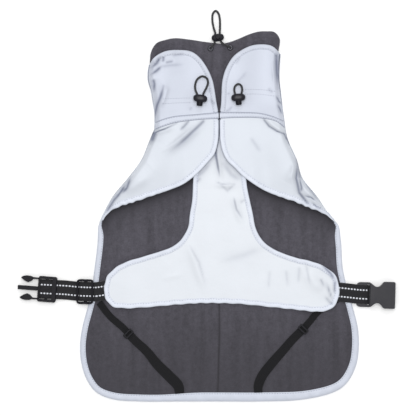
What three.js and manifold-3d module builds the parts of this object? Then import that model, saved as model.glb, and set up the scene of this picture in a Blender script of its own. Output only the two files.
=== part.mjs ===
// A dog raincoat laid out flat with its belly side up.
// Millimetres, +X to the right, +Y towards the collar, +Z up, underside flat on Z = 0.
// The tables below are measured from the coat's centre line, and the whole coat is then
// moved by CENTRE_LINE_X, so that the origin lies under the middle of its outline.

import * as THREE from 'three';
import * as BufferGeometryUtils from 'three/addons/utils/BufferGeometryUtils.js';
import Module from 'manifold-3d';

const wasm = await Module();
wasm.setup();

// ---------------------------------------------------------------- driving dimensions

const CENTRE_LINE_X = 16.6;
const GAP = 0.3;
const SEAM = GAP / 2;

const SHELL = 1.0;
const FLEECE = 1.5;
const CLOTH = 2.0;
const TAPE = 1.0;
const ON_SHELL = SHELL + GAP;
const LINING_TOP = ON_SHELL + FLEECE;
const ON_LINING = LINING_TOP + GAP;
const ON_TAPE = ON_LINING + TAPE + GAP;

const HEM_TAPE_WIDTH = 9;
const EDGE_TAPE_WIDTH = 6.5;
const TAPE_WRAP = 1.2;
const WRAP_CLEARANCE = 0.4;
const FOLD_INSET = TAPE_WRAP + WRAP_CLEARANCE;
const LINER_INSET = FOLD_INSET + 4 * WRAP_CLEARANCE;

const WEBBING_WIDTH = 25;
const WEBBING = 1.5;
const ELASTIC_WIDTH = 9;
const ELASTIC = 1.0;
const CORD_DIAMETER = 2.8;
const CORD_SIDES = 8;
const PLUNGER_TRAVEL = 3;

// Heights of the folded fronts over the lining: the side fold's radius and the rim under it,
// the air under an edge tape, how far the neck band stands proud, and the rises over the
// chest panel and over the strap's sewn ends.
const ROLL_RADIUS = 10;
const ROLL_RIM = 2.4;
const TAPE_LIFT = 0.5;
const BAND_PROUD = 0.6;
const OVER_CHEST = CLOTH + TAPE_LIFT + TAPE + GAP;
const BAND_END_RISE = ELASTIC + WEBBING + 2 * GAP + 0.1;

// ---------------------------------------------------------------- outlines: [x, y]

// The side folds of the collar, from its top corner down to the neck seam.
const COLLAR_SIDE = {
  left: [[-90.4, 197.5], [-92, 188], [-92, 177], [-88, 162], [-86, 148], [-84, 134], [-84, 121]],
  right: [[79, 212], [78, 198], [78, 177], [80, 160], [83, 136], [85, 123]],
};

// The side folds of the fronts, from the neck seam down to where the binding begins.
const FRONT_SIDE = {
  left: [[-84, 113], [-88, 104], [-92, 94], [-101, 73], [-118, 50], [-138, 26], [-151, 3], [-156, -8]],
  right: [[86, 115], [88, 104], [91, 95], [101, 73], [108, 50], [127, 26], [143, 3], [154, -9]],
};

// The flanks, from the end of the fold down to the hem's corner, and the hem between them.
const FLANK = {
  left: [[-157, -12], [-158.3, -36], [-162, -67], [-166, -98], [-172, -122], [-178, -145],
    [-181, -169], [-179, -192], [-172, -213]],
  right: [[156, -13], [159, -36], [161, -67], [168, -98], [175, -122], [180.6, -145],
    [182, -169], [179, -192], [170, -212]],
};
const HEM = [[-172, -213], [-160, -229], [-139, -238], [-103, -241], [-50, -241], [0, -241],
  [53, -241], [105, -239], [144, -231], [160, -223], [170, -212]];

// The neck band's upper and lower seams, from the left fold to the right one.
const NECK_UPPER = [[-84, 121], [-74, 125], [-59, 129], [-31, 131.7], [0, 134.3], [25, 134.6],
  [53, 133.3], [70, 129], [85, 123]];
const NECK_LOWER = [[-84, 113], [-59, 121.3], [-31, 125.5], [0, 127.5], [25, 128.6], [53, 128],
  [73, 124], [86, 115]];

// The collar back's top edge, from the left corner to the right one.
const COLLAR_TOP = [[-88.2, 198], [-89.4, 211], [-82, 225], [-69, 230], [-57, 232], [-37, 230],
  [-17, 227], [3, 225], [14, 227], [25, 231], [39, 237], [51, 240.5], [62, 241], [72, 240],
  [79, 231], [76.6, 212]];

// The free edge of each collar front: its rounded top, then its inner edge down to the seam.
const COLLAR_FRONT_TOP = {
  left: [[-90.4, 197.5], [-84, 206], [-70, 214], [-53, 216], [-36, 214], [-25, 206]],
  right: [[79, 212], [68, 221], [53, 223], [40, 221], [26, 214], [17, 206]],
};
const COLLAR_FRONT_INNER = {
  left: [[-25, 206], [-14, 190], [-8, 175], [-5, 159], [-3, 146], [-0.6, 134]],
  right: [[17, 206], [8, 190], [4, 175], [3, 159], [2.4, 146], [0.9, 134.2]],
};

// The free edge of each front: down the middle, then out along its lower edge to the side.
const FRONT_EDGE = {
  left: [[-0.6, 127], [-0.6, 112], [-1.5, 97], [-6, 81], [-13, 72], [-21, 63], [-30, 54], [-46, 42],
    [-65, 34], [-87, 26.5], [-109, 19], [-133, 11], [-145, 3], [-152, -7]],
  right: [[0.9, 127], [0.9, 112], [1.5, 99], [4, 86], [10, 73], [20, 63], [29, 54], [39, 46],
    [58, 34], [77, 26], [98, 19], [117, 11], [137, 3], [150, -7]],
};

// The chest panel: its stem, its shoulders and the round ends of its belly band.
const CHEST_SIDE = {
  left: [[-30, 126], [-32, 86], [-34, 42], [-35, 21], [-38, 3], [-40, -13], [-44, -22], [-51, -32],
    [-62, -40], [-78, -46], [-101, -52], [-124, -58], [-139, -67], [-147, -78], [-150, -91],
    [-150, -103], [-146, -113]],
  right: [[31, 127], [34, 86], [36, 42], [40, 21], [44, 3], [47, -13], [51, -23], [59, -34],
    [70, -42], [83, -48], [101, -54], [122, -59], [140, -67], [151, -77], [156, -91],
    [155, -106], [151, -115]],
};
const CHEST_BOTTOM = [[-146, -113], [-138, -119], [-122, -121], [-90, -119], [-55, -115],
  [-20, -113], [25, -114], [66, -118], [105, -122], [126, -124], [142, -122], [151, -115]];

// Straps: [x, y, height of the underside].
const LEFT_STRAP = [[-128, -94.5, 4.5], [-148, -96.4, 4.5], [-153, -97.2, 4.6],
  [-157, -97.8, 5.3], [-161, -98.2, 5.9], [-167, -98.1, 4.85], [-174, -98, 3.6], [-181, -97.7, 2.35],
  [-187.5, -97.3, 1.2], [-198, -96.2, 1.2], [-211, -95.4, 3], [-222, -94.9, 3], [-232, -94.3, 3]];
const RIGHT_STRAP = [[138, -97.1, ON_TAPE], [160, -98.9, ON_TAPE], [172, -100.2, ON_TAPE - 0.2],
  [182, -101.3, 3.5], [193, -102, 3.5]];
const LEFT_ELASTIC = [[-156, -112], [-142, -130], [-125, -145], [-110, -161], [-94, -176],
  [-81, -192], [-65, -208], [-53, -221], [-51, -231]];
const RIGHT_ELASTIC = [[157, -106], [129, -124], [118, -137], [109, -147], [95, -161], [82, -176],
  [68, -192], [56, -208], [51, -221], [51, -231]];

// Folds that stand up from the cloth: a soft ridge from (x, y) to (x2, y2).
const FRONT_RIDGES = [
  { x: -22, y: 120, x2: -66, y2: 84, half: 6, height: 1.6 },
  { x: -84, y: 108, x2: -60, y2: 116, half: 4, height: 1.2 },
  { x: -128, y: 30, x2: -92, y2: 52, half: 7, height: 1.4 },
  { x: -70, y: 172, x2: -78, y2: 142, half: 5, height: 1.5 },
  { x: 62, y: 124, x2: 84, y2: 108, half: 4, height: 1.3 },
  { x: 78, y: 214, x2: 73, y2: 168, half: 4, height: 1.6 },
  { x: 104, y: 72, x2: 88, y2: 44, half: 6, height: 1.5 },
  { x: 108, y: 46, x2: 138, y2: 6, half: 6, height: 1.6 },
];
const CHEST_RIDGES = [
  { x: -4, y: 92, x2: 2, y2: 46, half: 4, height: 1.2 },
  { x: -6, y: 42, x2: 22, y2: 40, half: 4, height: 1.1 },
  { x: 18, y: 26, x2: 30, y2: -10, half: 5, height: 1.0 },
  { x: -40, y: -34, x2: -18, y2: -96, half: 6, height: 1.0 },
  { x: 112, y: -72, x2: 134, y2: -98, half: 7, height: 1.0 },
];

// ---------------------------------------------------------------- curves and grids

const clamp = THREE.MathUtils.clamp;
const smooth = (low, high, value) => THREE.MathUtils.smoothstep(value, low, high);

/** A smooth curve through table rows, as a function of the share of its length. */
function curve(rows) {
  const points = rows.map(([x, y, z = 0]) => new THREE.Vector3(x, y, z));
  const spline = new THREE.CatmullRomCurve3(points, false, 'centripetal');
  return (share) => spline.getPointAt(clamp(share, 0, 1));
}

/** The level direction to the left of a curve, looking along it. */
function leftOf(path, share) {
  const step = 0.004;
  const along = path(share + step).sub(path(share - step));
  return new THREE.Vector3(-along.y, along.x, 0).normalize();
}

/** The curve moved sideways by a distance, to its left when the distance is positive. */
function offset(path, distance) {
  return (share) => path(share).addScaledVector(leftOf(path, share), distance);
}

/** The stretch of a curve between two shares of its length. */
function between(path, from, to) {
  return (share) => path(from + (to - from) * share);
}

/** The share of a curve's length that lies nearest to a table row. */
function shareAt(path, [x, y]) {
  const steps = 600;
  const away = (place) => path(place / steps).distanceTo(new THREE.Vector3(x, y, 0));
  let nearest = 0;
  for (let place = 1; place <= steps; place += 1) {
    if (away(place) < away(nearest)) nearest = place;
  }
  return nearest / steps;
}

const straight = (a, b) => (share) => a.clone().lerp(b, share);

/** A seam as a function of x: the edge that lies on it from one x to another. */
function seamLine(rows, lift) {
  const steps = 120;
  const path = curve(rows);
  const samples = Array.from({ length: steps + 1 }, (_, place) => path(place / steps));
  const heightAt = (x) => {
    let next = samples.findIndex((point) => point.x >= x);
    if (next < 1) next = x < samples[0].x ? 1 : steps;
    const a = samples[next - 1];
    const b = samples[next];
    return a.y + (b.y - a.y) * (x - a.x) / (b.x - a.x);
  };
  return (from, to) => (share) => {
    const x = from + (to - from) * share;
    return new THREE.Vector3(x, heightAt(x) + lift, 0);
  };
}

/** How far an edge curve bows away from the straight line between its ends. */
function bow(edge, share) {
  return edge(share).sub(edge(0).lerp(edge(1), share));
}

/** Points between a top and a bottom edge, bent by the bows of the two side edges. */
function fillBetween({ left, right, top, bottom, columns, rows, from = 0, to = 1 }) {
  const grid = [];
  for (let row = 0; row <= rows; row += 1) {
    const v = row / rows;
    const line = [];
    for (let column = 0; column <= columns; column += 1) {
      const u = from + (to - from) * column / columns;
      const point = top(u).lerp(bottom(u), v);
      point.addScaledVector(bow(left, v), 1 - u);
      point.addScaledVector(bow(right, v), u);
      line.push(point);
    }
    grid.push(line);
  }
  return grid;
}

function areaOf(points) {
  return THREE.ShapeUtils.area(points.map((point) => new THREE.Vector2(point.x, point.y)));
}

function closedGeometry(positions, indices) {
  const geometry = new THREE.BufferGeometry();
  geometry.setAttribute('position', new THREE.Float32BufferAttribute(positions, 3));
  geometry.setIndex(indices);
  geometry.computeVertexNormals();
  return geometry;
}

/** A closed wall over a grid: its lower and upper faces are heights of (x, y, column). */
function wallOver(grid, lower, upper) {
  const rows = grid.length;
  const columns = grid[0].length;
  const count = rows * columns;
  const positions = [];
  for (const height of [upper, lower]) {
    for (const line of grid) {
      line.forEach((point, column) => {
        positions.push(point.x, point.y, height(point.x, point.y, column));
      });
    }
  }
  const at = (row, column) => row * columns + column;
  const ring = [];
  for (let column = 0; column < columns - 1; column += 1) ring.push(at(0, column));
  for (let row = 0; row < rows - 1; row += 1) ring.push(at(row, columns - 1));
  for (let column = columns - 1; column > 0; column -= 1) ring.push(at(rows - 1, column));
  for (let row = rows - 1; row > 0; row -= 1) ring.push(at(row, 0));
  const flat = grid.flat();
  const turned = areaOf(ring.map((index) => flat[index])) < 0;
  const indices = [];
  const triangle = (a, b, c) => indices.push(...(turned ? [a, c, b] : [a, b, c]));
  for (let row = 0; row < rows - 1; row += 1) {
    for (let column = 0; column < columns - 1; column += 1) {
      const a = at(row, column);
      const b = at(row, column + 1);
      const c = at(row + 1, column + 1);
      const d = at(row + 1, column);
      triangle(a, b, c);
      triangle(a, c, d);
      triangle(count + a, count + c, count + b);
      triangle(count + a, count + d, count + c);
    }
  }
  ring.forEach((index, place) => {
    const next = ring[(place + 1) % ring.length];
    triangle(count + index, count + next, next);
    triangle(count + index, next, index);
  });
  return closedGeometry(positions, indices);
}

/** A closed strip: a section of [side, up] points carried along a path, over a lift height. */
function strip(path, stations, section, lift = () => 0) {
  const outline = section.map(([side, up]) => new THREE.Vector2(side, up));
  if (THREE.ShapeUtils.isClockWise(outline)) outline.reverse();
  const sides = outline.length;
  const positions = [];
  for (let station = 0; station <= stations; station += 1) {
    const share = station / stations;
    const middle = path(share);
    const left = leftOf(path, share);
    for (const corner of outline) {
      const x = middle.x + left.x * corner.x;
      const y = middle.y + left.y * corner.x;
      positions.push(x, y, middle.z + corner.y + lift(x, y));
    }
  }
  const indices = [];
  for (let station = 0; station < stations; station += 1) {
    for (let side = 0; side < sides; side += 1) {
      const a = station * sides + side;
      const b = station * sides + (side + 1) % sides;
      indices.push(a, b, a + sides, b, b + sides, a + sides);
    }
  }
  const last = stations * sides;
  for (const [a, b, c] of THREE.ShapeUtils.triangulateShape(outline, [])) {
    indices.push(a, c, b, last + a, last + b, last + c);
  }
  return closedGeometry(positions, indices);
}

const flatSection = (width, thickness) => [[-width / 2, 0], [width / 2, 0],
  [width / 2, thickness], [-width / 2, thickness]];

/** Tape folded over a free edge: a flat on the cloth and a lip down its outer side. */
const edgeTape = (width) => [[0, -CLOTH], [TAPE_WRAP - 2 * GAP, -CLOTH], [TAPE_WRAP - 2 * GAP, TAPE_LIFT],
  [width, TAPE_LIFT], [width, TAPE_LIFT + TAPE], [0, TAPE_LIFT + TAPE]];

const hemTape = [[0, 0], [TAPE_WRAP, 0], [TAPE_WRAP, ON_LINING], [HEM_TAPE_WIDTH, ON_LINING],
  [HEM_TAPE_WIDTH, ON_LINING + TAPE], [0, ON_LINING + TAPE]];

// ---------------------------------------------------------------- heights of the layers

// The puff at the side folds, and how it is lost from one distance inwards to another.
const PUFF = { tip: 1.5, collar: 6.5, front: 4, loss: 0.75, from: 14, to: 60 };
const NECK_ZONE = { from: 118, to: 150 };
const FRONT_FULL_AT = 60;

// Where the fronts ride over the chest panel's stem, and the part of that lost up the collar.
const CHEST_ZONE = { from: 42, to: 75, top: 136, gone: 190, loss: 0.6 };

const side = {};
for (const hand of ['left', 'right']) {
  const whole = curve([...COLLAR_SIDE[hand], ...FRONT_SIDE[hand]]);
  side[hand] = Array.from({ length: 61 }, (_, place) => whole(place / 60));
}

/** The distance of a point from a line of points. */
function distanceTo(line, x, y) {
  let nearest = Infinity;
  for (let place = 1; place < line.length; place += 1) {
    const a = line[place - 1];
    const b = line[place];
    const span = (b.x - a.x) ** 2 + (b.y - a.y) ** 2;
    const share = clamp(((x - a.x) * (b.x - a.x) + (y - a.y) * (b.y - a.y)) / span, 0, 1);
    const away = Math.hypot(x - a.x - share * (b.x - a.x), y - a.y - share * (b.y - a.y));
    nearest = Math.min(nearest, away);
  }
  return nearest;
}

function ridges(table, x, y) {
  return table.reduce((sum, fold) => {
    const away = distanceTo([{ x: fold.x, y: fold.y }, { x: fold.x2, y: fold.y2 }], x, y);
    return sum + fold.height * Math.exp(-((away / fold.half) ** 2));
  }, 0);
}

/** A quarter-round rise from 0 at the edge to 1 at the radius. */
function roll(distance, radius) {
  const share = clamp(distance / radius, 0, 1);
  return Math.sqrt(1 - (1 - share) ** 2);
}

/** How high the folded cloth stands off the lining at its side folds. */
function puffAt(y) {
  const { tip, collar, front } = PUFF;
  const onCollar = smooth(NECK_ZONE.from, NECK_ZONE.to, y);
  return tip + collar * onCollar + front * smooth(FLANK.left[0][1], FRONT_FULL_AT, y) * (1 - onCollar);
}

/** The distance from the side fold, the rise over the lining and the folds at a point. */
function frontRise(x, y) {
  const away = distanceTo(x < 0 ? side.left : side.right, x, y);
  const onChest = 1 - smooth(CHEST_ZONE.from, CHEST_ZONE.to, Math.abs(x));
  const up = 1 - CHEST_ZONE.loss * smooth(CHEST_ZONE.top, CHEST_ZONE.gone, y);
  const puff = puffAt(y) * (1 - PUFF.loss * smooth(PUFF.from, PUFF.to, away));
  return { away, rise: Math.hypot(OVER_CHEST * onChest * up, puff), folds: ridges(FRONT_RIDGES, x, y) };
}

/** The underside of the fronts, the neck band and the collar fronts. */
function frontLower(x, y) {
  const { away, rise, folds } = frontRise(x, y);
  return ON_LINING + (rise + folds) * roll(away - FOLD_INSET, ROLL_RADIUS);
}

/** Their upper side, rolled down to a rim at the side fold. */
function frontUpper(x, y) {
  const { away, rise, folds } = frontRise(x, y);
  const full = ON_LINING + rise + folds + CLOTH - ROLL_RIM;
  return ROLL_RIM + full * roll(away, ROLL_RADIUS + FOLD_INSET);
}

const CHEST_MIDDLE = 2;
const BAND_END = { from: 66, to: 126 };

/** The underside of the chest panel: flat on the lining, raised over the strap's sewn ends. */
function chestLower(x) {
  return ON_LINING + BAND_END_RISE * smooth(BAND_END.from, BAND_END.to, Math.abs(x - CHEST_MIDDLE));
}
const chestUpper = (x, y) => chestLower(x) + CLOTH + ridges(CHEST_RIDGES, x, y);

// ---------------------------------------------------------------- materials

const material = (color, roughness, metalness = 0) => new THREE.MeshStandardMaterial({
  color, roughness, metalness, side: THREE.DoubleSide,
});
const reflective = material(0xdfe3ee, 0.5, 0.25);
const fleece = material(0x504e56, 0.95);
const tape = material(0xd3dae9, 0.55, 0.15);
const blackWebbing = material(0x2a2a2e, 0.85);
const blackElastic = material(0x2e2e31, 0.8);
const acetal = material(0x35353a, 0.45);
const nickel = material(0xb8b8bc, 0.3, 0.9);
const blackCord = material(0x202023, 0.75);

const coat = new THREE.Group();
coat.position.x = CENTRE_LINE_X;

function add(name, geometry, finish, parent = coat) {
  const mesh = new THREE.Mesh(geometry, finish);
  mesh.name = name;
  parent.add(mesh);
  return mesh;
}

// ---------------------------------------------------------------- back and collar back

const flat = (height) => () => height;

function back() {
  const outline = curve([...FRONT_SIDE.left, ...FLANK.left, ...HEM.slice(1, -1),
    ...FLANK.right.toReversed(), ...FRONT_SIDE.right.toReversed()]);
  const inner = offset(outline, LINER_INSET);
  const corner = { left: shareAt(outline, HEM[0]), right: shareAt(outline, HEM.at(-1)) };
  const panel = {
    left: between(inner, 0, corner.left),
    right: between(inner, 1, corner.right),
    top: seamLine(NECK_LOWER, 0)(inner(0).x, inner(1).x),
    bottom: between(inner, corner.left, corner.right),
    rows: 26,
  };
  const half = { ...panel, columns: 3 };
  add('back_shell', wallOver(fillBetween({ ...panel, columns: 6 }), flat(0), flat(SHELL)), reflective);
  const moveColumn = (grid, column, move) => grid.forEach((line) => { line[column].x += move; });
  const leftGrid = fillBetween({ ...half, to: 0.5 });
  moveColumn(leftGrid, half.columns, -SEAM);
  const rightGrid = fillBetween({ ...half, from: 0.5 });
  moveColumn(rightGrid, 0, SEAM);
  add('lining_left', wallOver(leftGrid, flat(ON_SHELL), flat(LINING_TOP)), fleece);
  add('lining_right', wallOver(rightGrid, flat(ON_SHELL), flat(LINING_TOP)), fleece);
  const edge = between(outline, shareAt(outline, FLANK.left[0]), shareAt(outline, FLANK.right[0]));
  add('hem_binding', strip(edge, 66, hemTape), tape);
}

function collarBack() {
  const left = offset(curve(COLLAR_SIDE.left), LINER_INSET);
  const right = offset(curve(COLLAR_SIDE.right), -LINER_INSET);
  const bottom = seamLine(NECK_LOWER, GAP)(left(1).x, right(1).x);
  const grid = fillBetween({ left, right, top: curve(COLLAR_TOP), bottom, columns: 14, rows: 6 });
  add('collar_back_shell', wallOver(grid, flat(0), flat(SHELL)), reflective);
  add('collar_back_lining', wallOver(grid, flat(ON_SHELL), flat(LINING_TOP)), fleece);
}

// ---------------------------------------------------------------- folded fronts

const inwardOf = { left: 1, right: -1 };

/** A panel that runs from a side fold to a free edge, with a lip down the fold to the surface. */
function foldedPanel(name, hand, panel, finish, proud = 0) {
  const { fold, rows } = panel;
  const inward = inwardOf[hand];
  const inner = offset(fold, inward * FOLD_INSET);
  const wrap = offset(fold, inward * TAPE_WRAP);
  const grid = fillBetween({ ...panel, left: inner, right: panel.free });
  const folded = grid.map((line, row) => {
    const share = row / rows;
    const shift = line[0].clone().sub(inner(share));
    return [fold(share).add(shift), wrap(share).add(shift), ...line];
  });
  const lower = (x, y, column) => (column < 2 ? 0 : frontLower(x, y));
  const upper = (x, y) => frontUpper(x, y) + proud;
  add(name, wallOver(folded, lower, upper), finish);
}

/** The tape on a free edge of the fronts, its flat side towards the cloth. */
function edgeBinding(name, hand, edge, stations) {
  const section = edgeTape(EDGE_TAPE_WIDTH).map(([across, up]) => [-inwardOf[hand] * across, up]);
  add(name, strip(edge, stations, section, frontUpper), tape);
}

function front(hand) {
  const fold = curve(FRONT_SIDE[hand]);
  const inner = offset(fold, inwardOf[hand] * FOLD_INSET);
  const edge = curve(FRONT_EDGE[hand]);
  const free = offset(edge, -inwardOf[hand] * TAPE_WRAP);
  const panel = {
    fold,
    free,
    top: seamLine(NECK_LOWER, -TAPE_LIFT)(inner(0).x, free(0).x),
    bottom: straight(inner(1), free(1)),
    columns: 9,
    rows: 16,
  };
  foldedPanel(`front_${hand}`, hand, panel, reflective);
  edgeBinding(`front_binding_${hand}`, hand, between(edge, 0.008, 0.88), 28);
}

function collarFront(hand) {
  const fold = curve(COLLAR_SIDE[hand]);
  const edge = curve([...COLLAR_FRONT_TOP[hand], ...COLLAR_FRONT_INNER[hand].slice(1)]);
  const rim = offset(edge, -inwardOf[hand] * TAPE_WRAP);
  const turn = shareAt(edge, COLLAR_FRONT_INNER[hand][0]);
  const inner = offset(fold, inwardOf[hand] * FOLD_INSET);
  const panel = {
    fold,
    free: between(rim, turn, 1),
    top: between(rim, 0, turn),
    bottom: seamLine(NECK_UPPER, GAP)(inner(1).x, rim(1).x),
    columns: 9,
    rows: 10,
  };
  foldedPanel(`collar_front_${hand}`, hand, panel, reflective);
  edgeBinding(`collar_binding_${hand}`, hand, between(edge, 0.05, 0.985), 30);
}

function neckBand(hand) {
  const ends = hand === 'left' ? [0, 0] : [NECK_UPPER.length - 1, NECK_LOWER.length - 1];
  const upperEnd = new THREE.Vector3(...NECK_UPPER[ends[0]], 0);
  const lowerEnd = new THREE.Vector3(...NECK_LOWER[ends[1]], 0);
  const fold = straight(upperEnd, lowerEnd);
  const inner = offset(fold, inwardOf[hand] * FOLD_INSET);
  const middle = FRONT_EDGE[hand][0][0];
  const top = seamLine(NECK_UPPER, 0)(inner(0).x, middle);
  const bottom = seamLine(NECK_LOWER, GAP)(inner(1).x, middle);
  const free = straight(top(1), bottom(1));
  const panel = { fold, free, top, bottom, columns: 11, rows: 2 };
  foldedPanel(`neck_band_${hand}`, hand, panel, tape, BAND_PROUD);
}

// ---------------------------------------------------------------- chest panel

function chest() {
  const around = curve([...CHEST_SIDE.left, ...CHEST_BOTTOM.slice(1, -1),
    ...CHEST_SIDE.right.toReversed()]);
  const inner = offset(around, TAPE_WRAP);
  const corner = {
    left: shareAt(around, CHEST_BOTTOM[0]),
    right: shareAt(around, CHEST_BOTTOM.at(-1)),
  };
  const grid = fillBetween({
    left: between(inner, 0, corner.left),
    right: between(inner, 1, corner.right),
    top: straight(inner(0), inner(1)),
    bottom: between(inner, corner.left, corner.right),
    columns: 12,
    rows: 30,
  });
  add('chest_panel', wallOver(grid, chestLower, chestUpper), reflective);
  add('chest_binding', strip(around, 84, edgeTape(EDGE_TAPE_WIDTH), chestUpper), tape);
}

// ---------------------------------------------------------------- straps and elastics

function straps() {
  const webbing = flatSection(WEBBING_WIDTH, WEBBING);
  add('webbing_left', strip(curve(LEFT_STRAP), 36, webbing), blackWebbing);
  add('webbing_right', strip(curve(RIGHT_STRAP), 20, webbing), blackWebbing);
  const elastic = flatSection(ELASTIC_WIDTH, ELASTIC);
  const onLining = () => ON_LINING;
  add('leg_elastic_left', strip(curve(LEFT_ELASTIC), 30, elastic, onLining), blackElastic);
  add('leg_elastic_right', strip(curve(RIGHT_ELASTIC), 30, elastic, onLining), blackElastic);
}

// ---------------------------------------------------------------- moulded fittings

function toSolid(geometry) {
  const bare = geometry.index ? geometry.toNonIndexed() : geometry.clone();
  bare.deleteAttribute('normal');
  bare.deleteAttribute('uv');
  const merged = BufferGeometryUtils.mergeVertices(bare, 1e-4);
  return new wasm.Manifold(new wasm.Mesh({
    numProp: 3,
    vertProperties: merged.attributes.position.array,
    triVerts: new Uint32Array(merged.index.array),
  }));
}

function toGeometry(solid) {
  const mesh = solid.getMesh();
  return closedGeometry(Array.from(mesh.vertProperties), Array.from(mesh.triVerts));
}

function block(low, high) {
  const size = high.map((value, axis) => value - low[axis]);
  const geometry = new THREE.BoxGeometry(...size);
  geometry.translate(...low.map((value, axis) => value + size[axis] / 2));
  return toSolid(geometry);
}

/** A plate of the given outline with rounded corners, standing from z up to z + height. */
function plate(corners, radius, z, height, bevel = 0) {
  const shape = new THREE.Shape();
  const count = corners.length;
  corners.forEach(([x, y], place) => {
    const corner = new THREE.Vector2(x, y);
    const before = new THREE.Vector2(...corners[(place + count - 1) % count]);
    const after = new THREE.Vector2(...corners[(place + 1) % count]);
    const cut = Math.min(radius, corner.distanceTo(before) * 0.45, corner.distanceTo(after) * 0.45);
    const start = corner.clone().add(before.sub(corner).setLength(cut));
    const end = corner.clone().add(after.sub(corner).setLength(cut));
    if (place === 0) shape.moveTo(start.x, start.y);
    else shape.lineTo(start.x, start.y);
    shape.quadraticCurveTo(corner.x, corner.y, end.x, end.y);
  });
  const geometry = new THREE.ExtrudeGeometry(shape, {
    depth: height - 2 * bevel,
    curveSegments: 4,
    bevelEnabled: bevel > 0,
    bevelThickness: bevel,
    bevelSize: bevel,
    bevelOffset: -bevel,
    bevelSegments: 2,
  });
  geometry.translate(0, 0, z + bevel);
  return toSolid(geometry);
}

const rectangle = (x0, y0, x1, y1) => [[x0, y0], [x1, y0], [x1, y1], [x0, y1]];

/** The strap slider: a ring round the webbing with a middle bar under it. */
function strapSlider() {
  const half = { length: 11.2, width: 16.2, opening: 13.2, window: 8.6, bar: 2 };
  const bars = { thick: 2.2, foot: -1.9, root: 1, inset: 1 };
  const barBase = WEBBING + GAP;
  const top = barBase + bars.thick;
  const ring = plate(rectangle(-half.length, -half.width, half.length, half.width), 5, 0, top, 0.6)
    .subtract(block([-half.window, -half.opening, -1], [half.window, half.opening, top + 1]))
    .subtract(block([-half.length - 1, -half.opening, -1], [half.length + 1, half.opening, barBase]));
  const reach = half.width - bars.inset;
  const middle = block([-half.bar, -reach, bars.foot], [half.bar, reach, -GAP])
    .add(block([-half.bar, half.opening, bars.foot], [half.bar, reach, bars.root]))
    .add(block([-half.bar, -reach, bars.foot], [half.bar, -half.opening, bars.root]));
  const mesh = add('strap_slider', toGeometry(ring.add(middle)), acetal);
  mesh.position.set(-174, -98, 3.6);
  mesh.rotation.set(0, -Math.atan(0.18), -0.02);
}

/** The pronged half of the side-release buckle, its prongs pointing to -X. */
function prongedHalf() {
  const half = { length: 12.1, width: 16.6, opening: 13.3 };
  const window = { left: -9.8, right: 6.2 };
  const slot = { base: 2.7, top: 4.8 };
  const height = 7;
  const root = -half.length + 1;
  const frame = plate(rectangle(-half.length, -half.width, half.length, half.width), 3, 0, height, 0.8)
    .subtract(block([window.left, -half.opening, -1], [window.right, half.opening, height + 1]))
    .subtract(block([window.right - 1, -half.opening, slot.base],
      [half.length + 1, half.opening, slot.top]));
  const bar = block([-3, -half.opening - 1, 0], [1, half.opening + 1, slot.base]);
  const guide = { tip: -38.4, half: 2.7, base: 1.8, thick: 3.4 };
  let body = frame.add(bar)
    .add(plate(rectangle(guide.tip, -guide.half, root, guide.half), 1, guide.base, guide.thick, 0.4));
  const prong = { base: 1.3, thick: 4.4 };
  const prongOutline = [[root, 12.4], [-18.6, 12.2], [-21.4, 9.2], [-25.4, 7.2], [-30, 9], [-35.2, 12.8],
    [-32.3, 15.1], [-27, 16.1], [-22, 15.6], [-19.4, 14.4], [root, 14.2]];
  for (const hand of [1, -1]) {
    const outline = prongOutline.map(([x, y]) => [x, y * hand]);
    body = body.add(plate(hand === 1 ? outline.toReversed() : outline, 1, prong.base, prong.thick));
  }
  const mesh = add('buckle_male', toGeometry(body), acetal);
  mesh.position.set(-223.6, -94.9, 0);
  mesh.rotation.z = -0.077;
}

/** The socket half, its mouth facing +X and its strap plate towards the coat. */
function socketHalf() {
  const top = 9.4;
  const waist = [[-7.8, 16.1], [-4.6, 13.4], [-0.8, 10.6], [3, 10.3], [6.6, 12.6], [10, 17.3], [24.7, 17.3]];
  const mirrored = waist.map(([x, y]) => [x, -y]);
  const mouth = { back: -2.5, half: 13.7, base: 2.4, top: 7 };
  const housing = plate([...mirrored, ...waist.toReversed()], 1.8, 0, top)
    .subtract(block([mouth.back, -mouth.half, mouth.base], [26, mouth.half, mouth.top]));
  const tongue = [[-25, -13.8], [-21.4, -16.1], [-7, -16.1], [-7, 16.1], [-21.4, 16.1], [-25, 13.8]];
  const slot = { left: -11.2, right: -8.6, half: 13.4 };
  const strapPlate = plate(tongue, 1.5, 0, 3.2)
    .subtract(block([slot.left, -slot.half, -1], [slot.right, slot.half, 5]));
  const mesh = add('buckle_female', toGeometry(housing.add(strapPlate)), acetal);
  mesh.position.set(204.1, -102.3, 0);
  mesh.rotation.z = -0.026;
}

/** A small slider that bridges a leg elastic. */
function legSlider(hand, x, y, angle) {
  const wall = 1.6;
  const opening = ELASTIC_WIDTH / 2 + 2 * GAP;
  const half = { length: 3.6, width: opening + wall, window: 1.6 };
  const top = 2 * GAP + ELASTIC + wall;
  const body = plate(rectangle(-half.length, -half.width, half.length, half.width), 1.2, 0, top, 0.3)
    .subtract(block([-half.length - 1, -opening, -1], [half.length + 1, opening, ELASTIC + GAP]))
    .subtract(block([-half.window, -opening, -1], [half.window, opening, top + 1]));
  const mesh = add(`leg_slider_${hand}`, toGeometry(body), acetal);
  mesh.position.set(x, y, ON_LINING);
  mesh.rotation.z = angle;
}

/** An eyelet: a rolled metal ring that lies on the collar lining. */
function eyelet(hand, x, y) {
  const hole = 2.2;
  const rim = 3.9;
  const profile = [[hole, 0], [rim, 0], [rim - 0.2, 0.6], [rim - 0.9, 0.9], [hole + 0.1, 0.6], [hole, 0]];
  const ring = new THREE.LatheGeometry(profile.map(([r, z]) => new THREE.Vector2(r, z)), 20);
  ring.rotateX(Math.PI / 2);
  add(`eyelet_${hand}`, ring, nickel).position.set(x, y, ON_LINING);
}

// ---------------------------------------------------------------- cord locks and cords

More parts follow.
